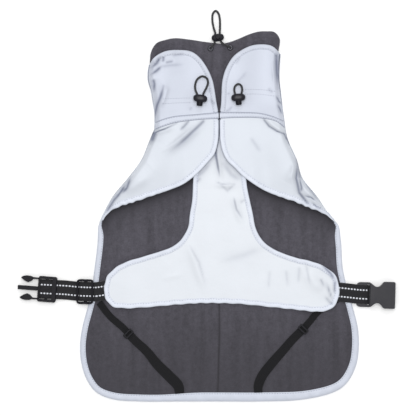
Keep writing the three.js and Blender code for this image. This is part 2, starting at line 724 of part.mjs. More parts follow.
/** A cord lock: a bean-shaped body with a bore for its sprung plunger, which comes out at -Y. */
function cordLock(name, { width, depth, thick, bore }) {
  const place = new THREE.Group();
  coat.add(place);
  const end = { x: width / 2, y: depth * 0.28 };
  const face = { x: end.x * 0.55, y: depth / 2 };
  const outline = [[-end.x, -end.y], [-face.x, -face.y], [face.x, -face.y], [end.x, -end.y],
    [end.x, end.y], [face.x, face.y], [-face.x, face.y], [-end.x, end.y]];
  const floor = 2.2;
  const boreLength = depth - floor;
  const boreCut = new THREE.CylinderGeometry(bore, bore, boreLength + 1, 20);
  boreCut.translate(0, -depth / 2 + (boreLength - 1) / 2, 0);
  const body = plate(outline, 3, -thick / 2, thick, 1.6).subtract(toSolid(boreCut));
  add(`cord_lock_${name}`, toGeometry(body), acetal, place);
  const inside = boreLength - PLUNGER_TRAVEL - GAP;
  const proud = 4.6;
  const plungerRadius = bore - GAP;
  const round = [[0, 0], [plungerRadius, 0], [plungerRadius, inside + proud - 1],
    [plungerRadius - 1, inside + proud], [0, inside + proud]];
  const plunger = new THREE.LatheGeometry(round.map(([r, z]) => new THREE.Vector2(r, z)), 20);
  plunger.rotateX(Math.PI);
  add(`plunger_${name}`, plunger.translate(0, -depth / 2 + inside, 0), acetal, place);
  return place;
}

function cord(name, rows, steps) {
  const section = new THREE.Shape();
  section.absarc(0, 0, CORD_DIAMETER / 2, 0, 2 * Math.PI);
  const points = rows.map((row) => new THREE.Vector3(...row));
  const extrudePath = new THREE.CatmullRomCurve3(points, false, 'centripetal');
  const geometry = new THREE.ExtrudeGeometry(section, {
    steps, curveSegments: CORD_SIDES / 2, extrudePath, bevelEnabled: false,
  });
  add(name, geometry, blackCord);
}

const LOCK = {
  top: { width: 16.4, depth: 10.4, thick: 9.4, bore: 3.8 },
  side: { width: 18.6, depth: 10.2, thick: 10, bore: 4.2 },
};

function drawcords() {
  const onCollar = (x, y) => frontUpper(x, y) + TAPE_LIFT + TAPE + GAP;
  const lift = LOCK.side.thick / 2 + 2 * GAP;
  const left = { x: -24.4, y: 152.6, z: onCollar(-24, 152) + lift };
  const right = { x: 24.8, y: 153.8, z: onCollar(25, 153) + lift };
  const top = { x: -1.7, y: 232.4, z: LOCK.top.depth / 2 + 0.4 };
  const leftLock = cordLock('left', LOCK.side);
  leftLock.position.set(left.x, left.y, left.z);
  leftLock.rotation.z = -0.12;
  const rightLock = cordLock('right', LOCK.side);
  rightLock.position.set(right.x, right.y, right.z);
  rightLock.rotation.z = 0.08;
  const topLock = cordLock('top', LOCK.top);
  topLock.position.set(top.x, top.y, top.z);
  topLock.rotation.set(-Math.PI / 2, 0, 0.14, 'ZYX');
  const lie = CORD_DIAMETER / 2 + GAP;
  const over = (x, y, up = 0) => [x, y, onCollar(x, y) + lie + up];
  cord('cord_left_loop', [
    [-28.8, 159, left.z - 1], over(-30.6, 163.5, 1.5), over(-31.1, 169.9), over(-28.3, 177.7),
    over(-21.8, 181.6), over(-16, 179), over(-14.4, 173.4), over(-16.6, 166.4, 1.5),
    [-20.2, 159.2, left.z - 1]], 30);
  cord('cord_right_loop', [
    [20.4, 159.5, right.z - 1], over(19.6, 164.3, 1), over(21.1, 169.3), over(25.2, 171.5),
    over(28.7, 169.3), over(29.9, 164.3, 1), [29.2, 160.2, right.z - 1]], 24);
  cord('cord_top_loop', [
    [-4.9, 238, 5.4], [-7, 245, 4], [-8.8, 257, 1.7], [-7.8, 264.4, 1.6], [-4.3, 267.6, 1.6],
    [-1, 264.6, 1.6], [0.9, 257.4, 1.7], [1.2, 245, 4], [0.9, 238.6, 5.4]], 34);
  cord('cord_top_leg_left', [
    [-10.8, 219, 4.7], [-9.8, 220.8, 6.6], [-7.4, 223.4, 6.4], [-5.9, 225.6, 5.8]], 10);
  cord('cord_top_leg_right', [[14, 220, 4.7], [11, 221.4, 6.8], [6, 224, 6.6], [2.5, 227.2, 5.6]], 12);
}

// ---------------------------------------------------------------- the whole coat

back();
collarBack();
for (const hand of ['left', 'right']) {
  collarFront(hand);
  neckBand(hand);
  front(hand);
}
chest();
straps();
strapSlider();
prongedHalf();
socketHalf();
legSlider('left', -118, -152.8, -0.79);
legSlider('right', 109.4, -147, 0.82);
eyelet('left', -11.1, 218.6);
eyelet('right', 14.4, 219.6);
drawcords();

export default coat;
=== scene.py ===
import bpy
import numpy as np
from bpy.props import FloatProperty, FloatVectorProperty, PointerProperty
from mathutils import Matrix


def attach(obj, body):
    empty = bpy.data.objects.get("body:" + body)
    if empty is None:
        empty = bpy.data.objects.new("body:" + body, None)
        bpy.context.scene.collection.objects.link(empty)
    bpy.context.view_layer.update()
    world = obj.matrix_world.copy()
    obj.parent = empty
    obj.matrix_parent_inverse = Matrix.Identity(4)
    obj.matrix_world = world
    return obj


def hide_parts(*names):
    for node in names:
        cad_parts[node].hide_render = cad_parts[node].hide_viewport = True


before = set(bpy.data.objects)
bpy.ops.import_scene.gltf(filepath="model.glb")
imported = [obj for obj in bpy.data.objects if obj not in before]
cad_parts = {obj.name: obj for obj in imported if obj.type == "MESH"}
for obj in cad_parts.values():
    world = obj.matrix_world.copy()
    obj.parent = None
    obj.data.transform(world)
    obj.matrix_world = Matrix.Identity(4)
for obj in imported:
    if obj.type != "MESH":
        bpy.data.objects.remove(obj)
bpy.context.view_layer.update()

bl_info = {
    "name": "Dog Raincoat",
    "version": (1, 0, 0),
    "blender": (4, 5, 0),
    "location": "View3D > Sidebar > Raincoat",
    "description": "Dresses a dog raincoat that is laid out flat with its belly side up",
    "category": "Add Mesh",
}

# Lengths in the tables and shape functions are millimetres from the coat's centre line,
# +X to the right, +Y towards the collar, +Z up from the surface that the coat lies on.
MM = 0.001
CENTRE_LINE_X = 16.6
BODY = "coat"
HANDS = ("left", "right")

# Thicknesses of the layers, the gap left between two of them, and the heights they add up to.
GAP = 0.3
SHELL = 1.0
FLEECE = 1.5
CLOTH = 2.0
TAPE = 1.0
ON_SHELL = SHELL + GAP
LINING_TOP = ON_SHELL + FLEECE
ON_LINING = LINING_TOP + GAP
ON_TAPE = ON_LINING + TAPE + GAP
# The tapes, the folds at the coat's sides, and what the belly band covers.
HEM_TAPE_WIDTH = 9.0
EDGE_TAPE_WIDTH = 6.5
TAPE_WRAP = 1.2
TAPE_LIFT = 0.5
FOLD_INSET = 1.6
LINER_INSET = 3.2
SHELL_SAG = 0.12
ROLL_RADIUS = 6.5
ROLL_RIM = 2.4
ELASTIC, ELASTIC_WIDTH = 1.0, 9.0
WEBBING, WEBBING_WIDTH = 1.5, 25.0
OVER_CHEST = CLOTH + TAPE_LIFT + TAPE + GAP
BAND_END_RISE = ELASTIC + WEBBING + 2 * GAP + 0.1
CHEST_MIDDLE = 2.0


# ---------------------------------------------------------------- colours and sizes

def linear(code):
    """An sRGB hex code as linear red, green, blue and an alpha of one."""
    part = np.array([int(code[i:i + 2], 16) for i in (1, 3, 5)]) / 255
    low = part / 12.92
    high = ((part + 0.055) / 1.055) ** 2.4
    return (*np.where(part <= 0.04045, low, high).tolist(), 1.0)


def tint(name, code, description):
    """A colour property whose default is an sRGB hex code."""
    return FloatVectorProperty(name=name, description=description, default=linear(code),
                               subtype="COLOR", size=4, min=0.0, max=1.0)


def length(name, millimetres, description):
    """A length property whose default is given in millimetres."""
    return FloatProperty(name=name, description=description, default=millimetres * MM,
                         subtype="DISTANCE", unit="LENGTH", min=0.0001, precision=4)


class RaincoatColours(bpy.types.PropertyGroup):
    """The colours of the coat's cloths, tapes and fittings."""

    collar: tint("Collar cloth", "#c2c7d3", "Silver reflective cloth of the collar")
    fronts: tint("Front cloth", "#c9ced6", "Silver reflective cloth of the fronts")
    chest: tint("Chest cloth", "#d0d4da", "Silver reflective cloth of the chest panel")
    # One silver tape in two tones as painted light and shade: darker round the hem and the collar
    # fronts, lighter along the fronts and the chest panel.
    binding: tint("Binding", "#c0c5d1", "Silver tape round the hem and the collar fronts")
    edging: tint("Edging", "#cfd4df", "Silver tape along the fronts and the chest panel")
    fleece: tint("Fleece", "#4a4850", "Charcoal fleece lining")
    webbing: tint("Webbing", "#17171b", "Black polyester webbing of the belly strap")
    stripe: tint("Stripe", "#d3d6de", "Reflective yarn woven into the webbing")
    elastic: tint("Elastic", "#141417", "Black braided elastic of the leg loops")
    plastic: tint("Plastic", "#11101a", "Moulded acetal of the buckle's socket")
    matt_plastic: tint("Matt plastic", "#0b0a12", "Moulded acetal of the other fittings")
    metal: tint("Eyelet", "#45454a", "Plated brass of the eyelets")
    cord: tint("Cord", "#17171a", "Black braided drawcord")
    thread: tint("Thread", "#73778a", "Blue-grey sewing thread")
    floor: tint("Floor", "#fdfdfd", "Plain pale studio floor")


class RaincoatSizes(bpy.types.PropertyGroup):
    """Sizes that can be changed without moving the coat's main outlines."""

    stitch: length("Stitch", 2.6, "Length of one lockstitch")
    stitch_pitch: length("Stitch pitch", 3.4, "Distance from one stitch to the next")
    thread: length("Thread", 0.46, "Thickness of the sewing thread")
    cord: length("Cord", 2.8, "Diameter of the drawcords")
    dash: length("Dash", 2.4, "Length of one reflective dash on the webbing")
    dash_pitch: length("Dash pitch", 4.0, "Distance from one dash to the next")
    view_width: length("View width", 540.8, "Width of floor that the camera sees")
    camera_lens: length("Lens", 150.0, "Focal length of the camera")


def colours():
    return bpy.context.scene.raincoat_colours


def sizes():
    return bpy.context.scene.raincoat_sizes


# ---------------------------------------------------------------- lines and grids

# The spans that a smooth line is drawn in, and the share of it that its direction is taken over.
CURVE_STEPS = 1200
HEADING_REACH = 0.004


def run_along(line):
    """The length of a line of points up to each of its points."""
    return np.insert(np.cumsum(np.linalg.norm(np.diff(line, axis=0), axis=1)), 0, 0)


def points_at(line, run, length_on):
    """The points of a line of points at given lengths along it."""
    return np.stack([np.interp(length_on, run, line[:, axis]) for axis in range(3)], -1)


def unit(vectors):
    """Vectors scaled to a length of one."""
    return vectors / np.linalg.norm(vectors, axis=-1, keepdims=True)


def curve(rows):
    """A smooth line through table rows, as a function of the share of its length.

    Between two rows the line is a cubic whose slopes are the centripetal Catmull-Rom ones: the
    knots are apart by the square root of the rows' distance, and the rows past either end
    continue the first and last span in a straight line.
    """
    points = np.array([(*row, 0.0)[:3] for row in rows])
    points = np.vstack([2 * points[0] - points[1], points, 2 * points[-1] - points[-2]])
    knots = np.linalg.norm(np.diff(points, axis=0), axis=1)[:, None] ** 0.5
    place = np.linspace(0, len(rows) - 1, CURVE_STEPS + 1)
    span = np.minimum(place.astype(int), len(rows) - 2)
    local = (place - span)[:, None]
    before, start, end, after = (points[span + shift] for shift in range(4))
    k0, k1, k2 = (knots[span + shift] for shift in range(3))
    slope = ((start - before) / k0 - (end - before) / (k0 + k1) + (end - start) / k1) * k1
    slope_end = ((end - start) / k1 - (after - start) / (k1 + k2) + (after - end) / k2) * k1
    drop = start - end
    line = (start + local * slope + local ** 2 * (-3 * drop - 2 * slope - slope_end)
            + local ** 3 * (2 * drop + slope + slope_end))
    run = run_along(line)
    return lambda share: points_at(line, run, np.clip(share, 0, 1) * run[-1])


def heading(path, share):
    """The step that a line takes from just before a share of its length to just after it."""
    return path(share + HEADING_REACH) - path(share - HEADING_REACH)


def left_of(path, share):
    """The level direction to the left of a line, looking along it."""
    ahead = heading(path, share)
    return unit(np.stack([-ahead[..., 1], ahead[..., 0], np.zeros(np.shape(share))], -1))


def offset(path, distance):
    """The line moved sideways by a distance, to its left when the distance is positive."""
    return lambda share: path(share) + left_of(path, share) * distance


def between(path, first, last):
    """The stretch of a line between two shares of its length."""
    return lambda share: path(first + (last - first) * share)


def share_at(path, row):
    """The share of a line's length that lies nearest to a table row."""
    share = np.linspace(0, 1, 601)
    return share[np.argmin(np.linalg.norm(path(share)[:, :2] - row[:2], axis=1))]


def straight(a, b):
    """The straight line between two points."""
    return lambda share: a + (b - a) * np.asarray(share)[..., None]


def seam_line(rows, lift):
    """A seam as a function of x: the edge that lies on it from one x to another."""
    line = curve(rows)(np.linspace(0, 1, 121))
    past = 20  # spans that the seam is drawn out by at either end, so that it reaches any side
    line = np.vstack([line[0] - (line[1] - line[0]) * past, line,
                      line[-1] + (line[-1] - line[-2]) * past])

    def edge(first, last):
        def at(share):
            """The points of the seam at evenly spaced x, moved up the coat by the lift."""
            x = first + (last - first) * np.asarray(share)
            return np.stack([x, np.interp(x, line[:, 0], line[:, 1]) + lift, 0 * x], -1)
        return at

    return edge


def bow(edge, share):
    """How far an edge bows away from the straight line between its ends."""
    return edge(share) - straight(edge(0.0), edge(1.0))(share)


def fill_between(left, right, top, bottom, u, v):
    """A grid of points: straight lines from the top edge to the bottom edge, each bent by the
    bows of the two side edges in proportion to how near it lies to them."""
    u, v = u[None, :], v[:, None]
    share = v[..., None]
    points = top(u) * (1 - share) + bottom(u) * share
    return points + bow(left, v) * (1 - u)[..., None] + bow(right, v) * u[..., None]


def bell(away, width, power=2):
    """A fall from 1 at no distance: the exponential of less a power of distance over width."""
    return np.exp(-(away / width) ** power)


def roll(distance, radius):
    """A quarter-round rise from 0 at the edge to 1 at the radius."""
    return np.sqrt(1 - (1 - np.clip(distance / radius, 0, 1)) ** 2)


def smooth(low, high, value):
    """A soft step from 0 to 1 between two values: three squares less two cubes."""
    share = np.clip((value - low) / (high - low), 0, 1)
    return share * share * (3 - 2 * share)


def distance_to(line, x, y):
    """The distance of points from a line of points, and the place along the line that is nearest
    as a share of its segments."""
    a, b = line[:-1, :2], line[1:, :2]
    run = b - a
    flat = np.stack([np.ravel(x), np.ravel(y)], -1)[:, None, :] - a
    share = np.clip((flat * run).sum(-1) / (run ** 2).sum(-1), 0, 1)
    away = np.linalg.norm(flat - share[..., None] * run, axis=-1)
    nearest = away.argmin(1)
    place = np.arange(len(away))
    along = (nearest + share[place, nearest]) / len(run)
    return away[place, nearest].reshape(np.shape(x)), along.reshape(np.shape(x))


# ---------------------------------------------------------------- outlines: [x, y]

# The side folds of the collar and of the fronts, from the top down.
COLLAR_SIDE = {
    "left": [[-90.4, 197.5], [-92, 188], [-92, 177], [-88, 162], [-86, 148], [-84, 134],
             [-84, 121]],
    "right": [[79, 212], [78, 198], [78, 177], [80, 160], [83, 136], [85, 123]],
}
FRONT_SIDE = {
    "left": [[-84, 113], [-88, 104], [-92, 94], [-101, 73], [-118, 50], [-138, 26], [-151, 3],
             [-156, -8]],
    "right": [[86, 115], [88, 104], [91, 95], [101, 73], [108, 50], [127, 26], [143, 3],
              [154, -9]],
}

# The flanks below the fold, and the hem between them.
FLANK = {
    "left": [[-157, -12], [-158.3, -36], [-162, -67], [-166, -98], [-172, -122], [-178, -145],
             [-181, -169], [-179, -192], [-172, -213]],
    "right": [[156, -13], [159, -36], [161, -67], [168, -98], [175, -122], [180.6, -145],
              [182, -169], [179, -192], [170, -212]],
}
HEM_TAPE_ENDS = [[-154.6, -2], [151, -3.4]]
HEM = [[-172, -213], [-160, -229], [-139, -238], [-103, -241], [-50, -241], [0, -241],
       [53, -241], [105, -239], [144, -231], [160, -223], [170, -212]]

# The neck band's upper and lower seams, and the collar back's top edge.
NECK_UPPER = [[-84, 121], [-74, 125], [-59, 129], [-31, 131.7], [0, 134.3], [25, 134.6],
              [53, 133.3], [70, 129], [85, 123]]
NECK_LOWER = [[-84, 113], [-59, 121.3], [-31, 125.5], [0, 127.5], [25, 128.6], [53, 128],
              [73, 124], [86, 115]]
COLLAR_TOP = [[-88.2, 198], [-89.4, 211], [-82, 225], [-69, 230], [-57, 232], [-37, 230],
              [-17, 227], [3, 225], [14, 227], [25, 231], [39, 237], [51, 240.5], [62, 241],
              [72, 240], [79, 231], [76.6, 212]]

# The free edges of the collar fronts and of the fronts.
COLLAR_FRONT_TOP = {
    "left": [[-90.4, 197.5], [-84, 206], [-70, 214], [-53, 216], [-36, 214], [-25, 206]],
    "right": [[79, 212], [68, 221], [53, 223], [40, 221], [26, 214], [17, 206]],
}
COLLAR_FRONT_INNER = {
    "left": [[-25, 206], [-14, 190], [-8, 175], [-5, 159], [-3, 146], [-0.6, 134]],
    "right": [[17, 206], [8, 190], [4, 175], [3, 159], [2.4, 146], [0.9, 134.2]],
}
FRONT_EDGE = {
    "left": [[-0.6, 127], [-0.6, 112], [-1.5, 97], [-6, 81], [-13, 72], [-21, 63], [-30, 54],
             [-46, 42], [-65, 34], [-87, 26.5], [-109, 19], [-133, 11], [-145, 3], [-152, -7]],
    "right": [[0.9, 127], [0.9, 112], [1.5, 99], [4, 86], [10, 73], [20, 63], [29, 54],
              [39, 46], [58, 34], [77, 26], [98, 19], [117, 11], [137, 3], [150, -7]],
}

# The chest panel: its stem, its shoulders and the round ends of its belly band.
CHEST_SIDE = {
    "left": [[-30, 126], [-32, 86], [-34, 42], [-35, 21], [-38, 3], [-40, -13], [-44, -22],
             [-51, -32], [-62, -40], [-78, -46], [-101, -53], [-124, -60.5], [-138, -69.5],
             [-146, -79], [-149, -91], [-149, -102], [-145, -111]],
    "right": [[31, 127], [34, 86], [36, 42], [40, 21], [44, 3], [47, -13], [51, -23],
              [59, -34], [70, -42], [83, -48], [101, -54], [122, -59], [140, -67],
              [151, -77], [156, -91], [155, -106], [151, -115]],
}
CHEST_BOTTOM = [[-145, -111], [-137.5, -117.5], [-122, -119.5], [-90, -118], [-55, -115],
                [-20, -113], [25, -114], [66, -118], [105, -122], [126, -124], [142, -122],
                [151, -115]]

# Straps and elastics: [x, y, height of the underside].
LEFT_STRAP = [[-128, -94.5, 4.5], [-148, -96.4, 4.5], [-153, -97.2, 4.6], [-157, -97.8, 5.3],
              [-161, -98.2, 5.9], [-167, -98.1, 4.85], [-174, -98, 3.6], [-181, -97.7, 2.35],
              [-187.5, -97.3, 1.2], [-198, -96.2, 1.2], [-211, -95.4, 3], [-222, -94.9, 3],
              [-233.3, -94.3, 3]]
RIGHT_STRAP = [[138, -97.1, ON_TAPE], [160, -98.9, ON_TAPE], [172, -100.2, ON_TAPE - 0.2],
               [182, -101.3, 3.5], [191, -101.8, 3.4], [195.9, -102, 1.6]]
LEFT_ELASTIC = [[-156, -112], [-142, -130], [-125, -145], [-110, -161], [-94, -176],
                [-81, -192], [-65, -208], [-53, -221], [-51.3, -230.4]]
RIGHT_ELASTIC = [[157, -106], [129, -124], [118, -137], [109, -147], [95, -161], [82, -176],
                 [68, -192], [56, -208], [51, -221], [51, -229.4]]


# ---------------------------------------------------------------- creases and heights

def ridge(points, half, height):
    """A soft fold along a line of points: half its width and its height."""
    return np.array(points, float), half, height


def crease(points, half, height, power=1.2, root=0.0, tip=0.0, widen=1.0):
    """A crease along a line of points: half its width, its height, down when negative, the power
    of its profile, 1 for a sharp crest and 2 for a soft swell, how deep it already is at its first
    point and still is at its last one, as shares of its height, and how many times wider it
    grows on the way."""
    return np.array(points, float), half, height, power, root, tip, widen


# Folds that stand up from the cloth, and then the finer creases between them.
FRONT_FOLDS = [
    ridge([[-22, 120], [-66, 84]], 6, 1.6), ridge([[-84, 108], [-60, 116]], 4, 1.2),
    ridge([[-128, 30], [-92, 52]], 7, 1.4), ridge([[-70, 172], [-78, 142]], 5, 1.5),
    ridge([[62, 124], [84, 108]], 4, 1.3), ridge([[78, 214], [73, 168]], 4, 1.6),
    ridge([[104, 72], [88, 44]], 6, 1.5), ridge([[108, 46], [138, 6]], 6, 1.6),
]
CHEST_FOLDS = [
    ridge([[-4, 92], [2, 46]], 4, 1.2), ridge([[-6, 42], [22, 40]], 4, 1.1),
    ridge([[18, 26], [30, -10]], 5, 1), ridge([[-40, -34], [-18, -96]], 6, 1),
    ridge([[112, -72], [134, -98]], 7, 1),
]
FRONT_CREASES = [
    crease([[-20.6, 123.1], [-29.7, 114], [-40.7, 103.1], [-50.7, 94], [-71.6, 77.6]], 2.2, -1.25,
           1.4, 0.9, 0, 2.8),
    crease([[-27.8, 120], [-58, 95.2], [-79.6, 80.2]], 4.5, 0.8, 1.6),
    crease([[-39.8, 123.1], [-45.2, 116.8], [-52.2, 110.3]], 1.8, -1, 1.3, 0.8),
    crease([[-86.5, 107], [-78, 110.8], [-70, 113.6], [-55, 120.5]], 1.2, -1.4, 1.5, 1, 0.3),
    crease([[-84.5, 106.3], [-88.5, 96]], 5.5, -2, 2.4, 1, 0.4),
    crease([[-115, 50.8], [-119.9, 36.8], [-127.9, 28.2]], 3, -1.6, 1.6, 0.3),
    crease([[-122.5, 40], [-129, 30.3], [-137.5, 18.6]], 2.6, -1.6, 1.8, 0.3),
    crease([[-133.2, 27.1], [-141.8, 13.1], [-148, 3]], 3, -1.3, 2, 0.3),
    crease([[58.5, 124.9], [64.9, 116.7], [74.9, 110.4], [84.9, 106.7]], 1.3, -1.4, 1.5, 0.8, 0.8),
    crease([[102.1, 71.3], [100.2, 49.7], [104.3, 30.3], [114.6, 17.4], [122.2, 9.9]], 2.6, -1.7,
           1.5, 0.3),
    crease([[96.3, 69.1], [94.2, 49.7], [99.5, 28.2]], 3.5, 0.8, 1.6),
    crease([[100.7, 76.8], [105.2, 62.8], [105, 51.4]], 3.2, -1.6, 2, 0.6, 0.6),
    crease([[105.2, 47.5], [107, 37.2], [106.2, 30.3]], 1.5, -1.4, 1.5, 0.5),
    crease([[112.4, 26], [119.4, 24.3], [127.4, 18.6]], 1.4, -1.3, 1.4, 0.5),
    crease([[121.7, 16.6], [127.6, 11.4], [135.4, 8.6]], 1.4, -1.2, 1.4, 0.4),
    crease([[111, 44.5], [120.9, 31.2], [133, 15.9]], 2, -0.9, 1.8, 0.2),
    crease([[114.6, 30.3], [122.2, 23.9], [129.7, 13.1]], 1.8, 0.7, 1.3),
    crease([[110.3, 23.9], [112.5, 17.4]], 1.8, 0.6, 1.3),
    crease([[87.7, 106.9], [92, 90.7]], 2.2, -1.3, 1.6, 0.5),
    crease([[84, 108], [87, 101], [93, 96]], 1.2, -1.2, 1.3, 0.4),
    crease([[39.2, 103.6], [56.4, 79.9]], 4, -0.35, 1.8),
    crease([[13.3, 99.3], [26.2, 77.8]], 4, 0.3, 1.8),
    crease([[-96.6, 73.4], [-77.2, 54]], 5, 0.4, 1.8),
]
COLLAR_CREASES = [
    crease([[-72.4, 168.9], [-75.9, 155.4], [-80.5, 143.8], [-83.6, 131.3], [-84.8, 122.6]], 3.2,
           -1.8, 1.7, 0.4, 0.5),
    crease([[-65.5, 169], [-70, 153.6], [-75.2, 139.5]], 4, 0.9, 1.6),
    crease([[-75.4, 193.9], [-81.5, 188.4], [-88.4, 183.9]], 2.2, -1.4, 1.4, 0.3, 0.4),
    crease([[-71.9, 207.6], [-72.8, 199.2]], 2, -1.1, 1.3),
    crease([[-70, 199.2], [-57.2, 201.4]], 1.6, -0.8, 1.3),
    crease([[-79, 193.2], [-60.4, 196], [-41.1, 197.3]], 3.2, -0.5, 1.3),
    crease([[-61.7, 207.8], [-51.4, 210.1], [-41.7, 210.1]], 2, -0.5, 1.2),
    crease([[-76.4, 206.3], [-80.9, 198.3], [-88, 193.1]], 2.5, -1.3, 1.4, 0.3, 0.4),
    crease([[-85.8, 178.7], [-84.2, 171.6], [-84.5, 158]], 3, -1.3, 1.9),
    crease([[-14.1, 167.7], [-12.2, 158.7]], 1.6, -0.5, 1.1),
    crease([[-12.8, 154.2], [-7.7, 145.9], [-4.5, 149.1]], 1.6, -0.6, 1.1),
    crease([[-34.7, 142], [-38.5, 136.9]], 2, -0.4, 1.2),
    crease([[69.3, 206.3], [69.3, 188.3], [71.5, 170.3]], 3, 0.8, 1.4),
    crease([[74.2, 208], [74.8, 190], [76.6, 166]], 4.2, -1.8, 2, 0.8, 0.3),
    crease([[74.6, 155.2], [77.6, 149.2], [82.3, 145]], 1.6, -1.4, 1.4, 0.5, 0.3),
    crease([[76.5, 143.8], [79.2, 138.6], [81.8, 131.1]], 1.6, -1.4, 1.4, 0.5),
    crease([[36.6, 188.9], [25.7, 176.7], [19.3, 166.4]], 3, -0.35, 1.4),
    crease([[8.4, 135.6], [13.5, 138.2], [18.3, 144.6]], 1.3, -0.6, 1),
    crease([[20.6, 197.3], [28.3, 208.2]], 1.6, -0.4, 1.1),
    crease([[63, 166.4], [70.7, 158.7]], 2.5, -0.4, 1.3),
    crease([[10.3, 158.7], [14.8, 160]], 1.5, -0.4, 1.1),
]
CHEST_CREASES = [
    crease([[0.1, 127], [0.1, 108.6], [-2.4, 94], [-5.2, 85]], 1.4, -1.3, 2, 1, 1),
    crease([[-5.7, 86], [-2.6, 70.1], [1.5, 46.5]], 2.2, -1.5, 1.3, 1),
    crease([[-4.5, 44.5], [4.5, 41.9], [24.6, 41.9]], 1.2, -0.6, 1.3, 0.4),
    crease([[1.5, 41], [10.9, 33], [20.6, 41.4]], 2.6, -0.45, 2, 0.5, 0.5),
    crease([[6, 68], [16, 54], [30, 45]], 4.5, -0.5, 2, 0.6),
    crease([[-30, 50], [-20, 58], [-8, 72]], 3.6, -0.4, 2, 0.6),
    crease([[18.7, 27.1], [22.4, 8.8], [33.1, -6.8]], 2.2, -0.8, 1.2),
    crease([[27.3, 17.4], [34.9, 21.7]], 1.8, -0.5, 1.1),
    crease([[-29.8, 43.7], [-22.9, 50.8]], 2, -0.6, 1.1),
    crease([[-41, -33.9], [-25.5, -60.2], [-15.8, -96.9]], 1.6, -0.45, 1),
    crease([[56, -42], [30, -52], [-4, -61]], 8, -0.25, 1.8, 0.4),
    crease([[86.6, -68.8], [89.2, -94.7]], 1.8, -0.4, 1.1),
    crease([[104.3, -64.5], [102.1, -90.4]], 1.8, -0.45, 1.1),
    crease([[112.5, -60.2], [117.9, -91.5]], 1.8, -0.45, 1.1),
    crease([[135.1, -64.5], [144.8, -74.2], [151.3, -85]], 2.4, -1.5, 1.4, 0.4),
    crease([[139.4, -87.2], [144.8, -101.2], [147.4, -110.9]], 1.4, -1.1, 1.2, 0.3),
    crease([[138.3, -105.5], [148.7, -116.3]], 1.4, -1.1, 1.2, 0.3),
    crease([[150.9, -81.8], [149.1, -103.3]], 1.6, -1.1, 1.2, 0.3),
    crease([[131, -80], [139, -94]], 1.3, -0.8, 1.2),
    crease([[66.1, -68.8], [64, -99]], 2.2, -0.3, 1.2),
    crease([[-47.1, -75.3], [-77.2, -81.8]], 6, 0.35, 1.8),
]

LINING_CREASES = [
    crease([[-54.7, -122], [-52, -170], [-56, -225]], 6, -0.5, 2, 0.6),
    crease([[-17, -125], [-19, -170], [-14, -222]], 5, -0.4, 2, 0.5),
    crease([[44, -120], [40, -165], [47, -215]], 6, -0.35, 2, 0.5),
    crease([[-96, -10], [-104, -40]], 7, -0.3, 2), crease([[88, 8], [100, -34]], 7, -0.3, 2),
]
BACK_COLLAR_CREASES = [
    crease([[-5, 205], [-2, 185], [-1, 160]], 3, 0.35, 1.6),
    crease([[-14, 212], [-9, 190]], 3, 0.3, 1.6), crease([[6, 212], [1, 190]], 3, 0.35, 1.6),
    crease([[-11, 219], [3, 221], [14, 220]], 4, 0.4, 1.6),
]

# The rows of stitches along the drawcord's tunnel on each collar front.
TUNNEL_STITCHES = {
    "left": [[[-74, 152], [-55, 153], [-37, 153.7]], [[-74, 146], [-55, 147], [-37, 147.6]]],
    "right": [[[32, 158.6], [52, 158.4], [73, 155.7]], [[33, 164.6], [52, 164.4], [72, 162]]],
}


def folds(table, x, y):
    """The sum of the soft folds at points: each falls off as the exponential of the square of
    the distance over its half width, and fades towards both ends of its line."""
    total = np.zeros(np.shape(x))
    for line, half, height in table:
        away, along = distance_to(line, x, y)
        ends = smooth(-0.15, 0.35, along) * (1 - smooth(0.65, 1.15, along))
        total += height * ends * bell(away, half)
    return total


def creases(table, x, y):
    """The height and the painted shade of the creases at points.

    The height of each is the sum of a narrow core and a low broad swell, both exponentials of
    the distance over a width, and it fades towards both ends of its line. The painted shade is
    the share of a valley's depth that lies in its core, from 0 on flat cloth to 1 in the deepest
    ones: it darkens the colour where shade falls in the valleys.
    """
    height, wear = np.zeros(np.shape(x)), np.zeros(np.shape(x))
    for line, half, top, power, root, tip, widen in table:
        away, along = distance_to(line, x, y)
        away = away / (1 + (widen - 1) * along)
        ends = (root + (1 - root) * smooth(0, 0.25, along)) \
            * (1 - (1 - tip) * smooth(0.6, 1, along))
        core, swell = bell(away, 0.55 * half, power), bell(away, 1.9 * half, 1.7)
        height += top * ends * (0.65 * core + 0.35 * swell)
        if top < 0:
            wear += min(1.0, -top / 1.4) * ends * (0.8 * core + 0.2 * swell)
    return height, np.minimum(wear, 1)


# The side folds and the fronts' free edges as lines of points.
SIDE = {hand: curve(COLLAR_SIDE[hand] + FRONT_SIDE[hand])(np.linspace(0, 1, 241))
        for hand in HANDS}
FREE_EDGE = {hand: curve(FRONT_EDGE[hand])(np.linspace(0, 1, 181)) for hand in HANDS}


def near_fronts(x, y, reach):
    """How near points lie to the fronts' free edges: an exponential of the distance."""
    return bell(np.minimum(*(distance_to(FREE_EDGE[hand], x, y)[0] for hand in HANDS)), reach, 1)


def puff_at(y):
    """How high the folded cloth stands off the lining at its side folds: 1.5 mm at the tips,
    5.5 mm at the shoulders and 8 mm along the collar."""
    return (1.5 + 6.5 * smooth(118, 150, y)
            + 4 * smooth(-12, 60, y) * (1 - smooth(118, 150, y)))


def front_rise(x, y):
    """The distance from the side fold, and the rise of the fronts over the lining there: the
    root of the squares of the rise over the chest panel and of the puff of the fold, which
    falls to a quarter away from the fold."""
    away = np.where(x < 0, distance_to(SIDE["left"], x, y)[0],
                    distance_to(SIDE["right"], x, y)[0])
    middle = (OVER_CHEST * (1 - smooth(42, 75, np.abs(x)))
              * (1 - 0.6 * smooth(136, 190, y)))
    puff = puff_at(y) * (1 - 0.75 * smooth(14, 60, away))
    return away, np.hypot(middle, puff)


def front_lower(x, y):
    """The underside of the fronts, the neck band and the collar fronts."""
    away, rise = front_rise(x, y)
    rise = rise + folds(FRONT_FOLDS, x, y)
    return ON_LINING + rise * roll(away - FOLD_INSET, ROLL_RADIUS)


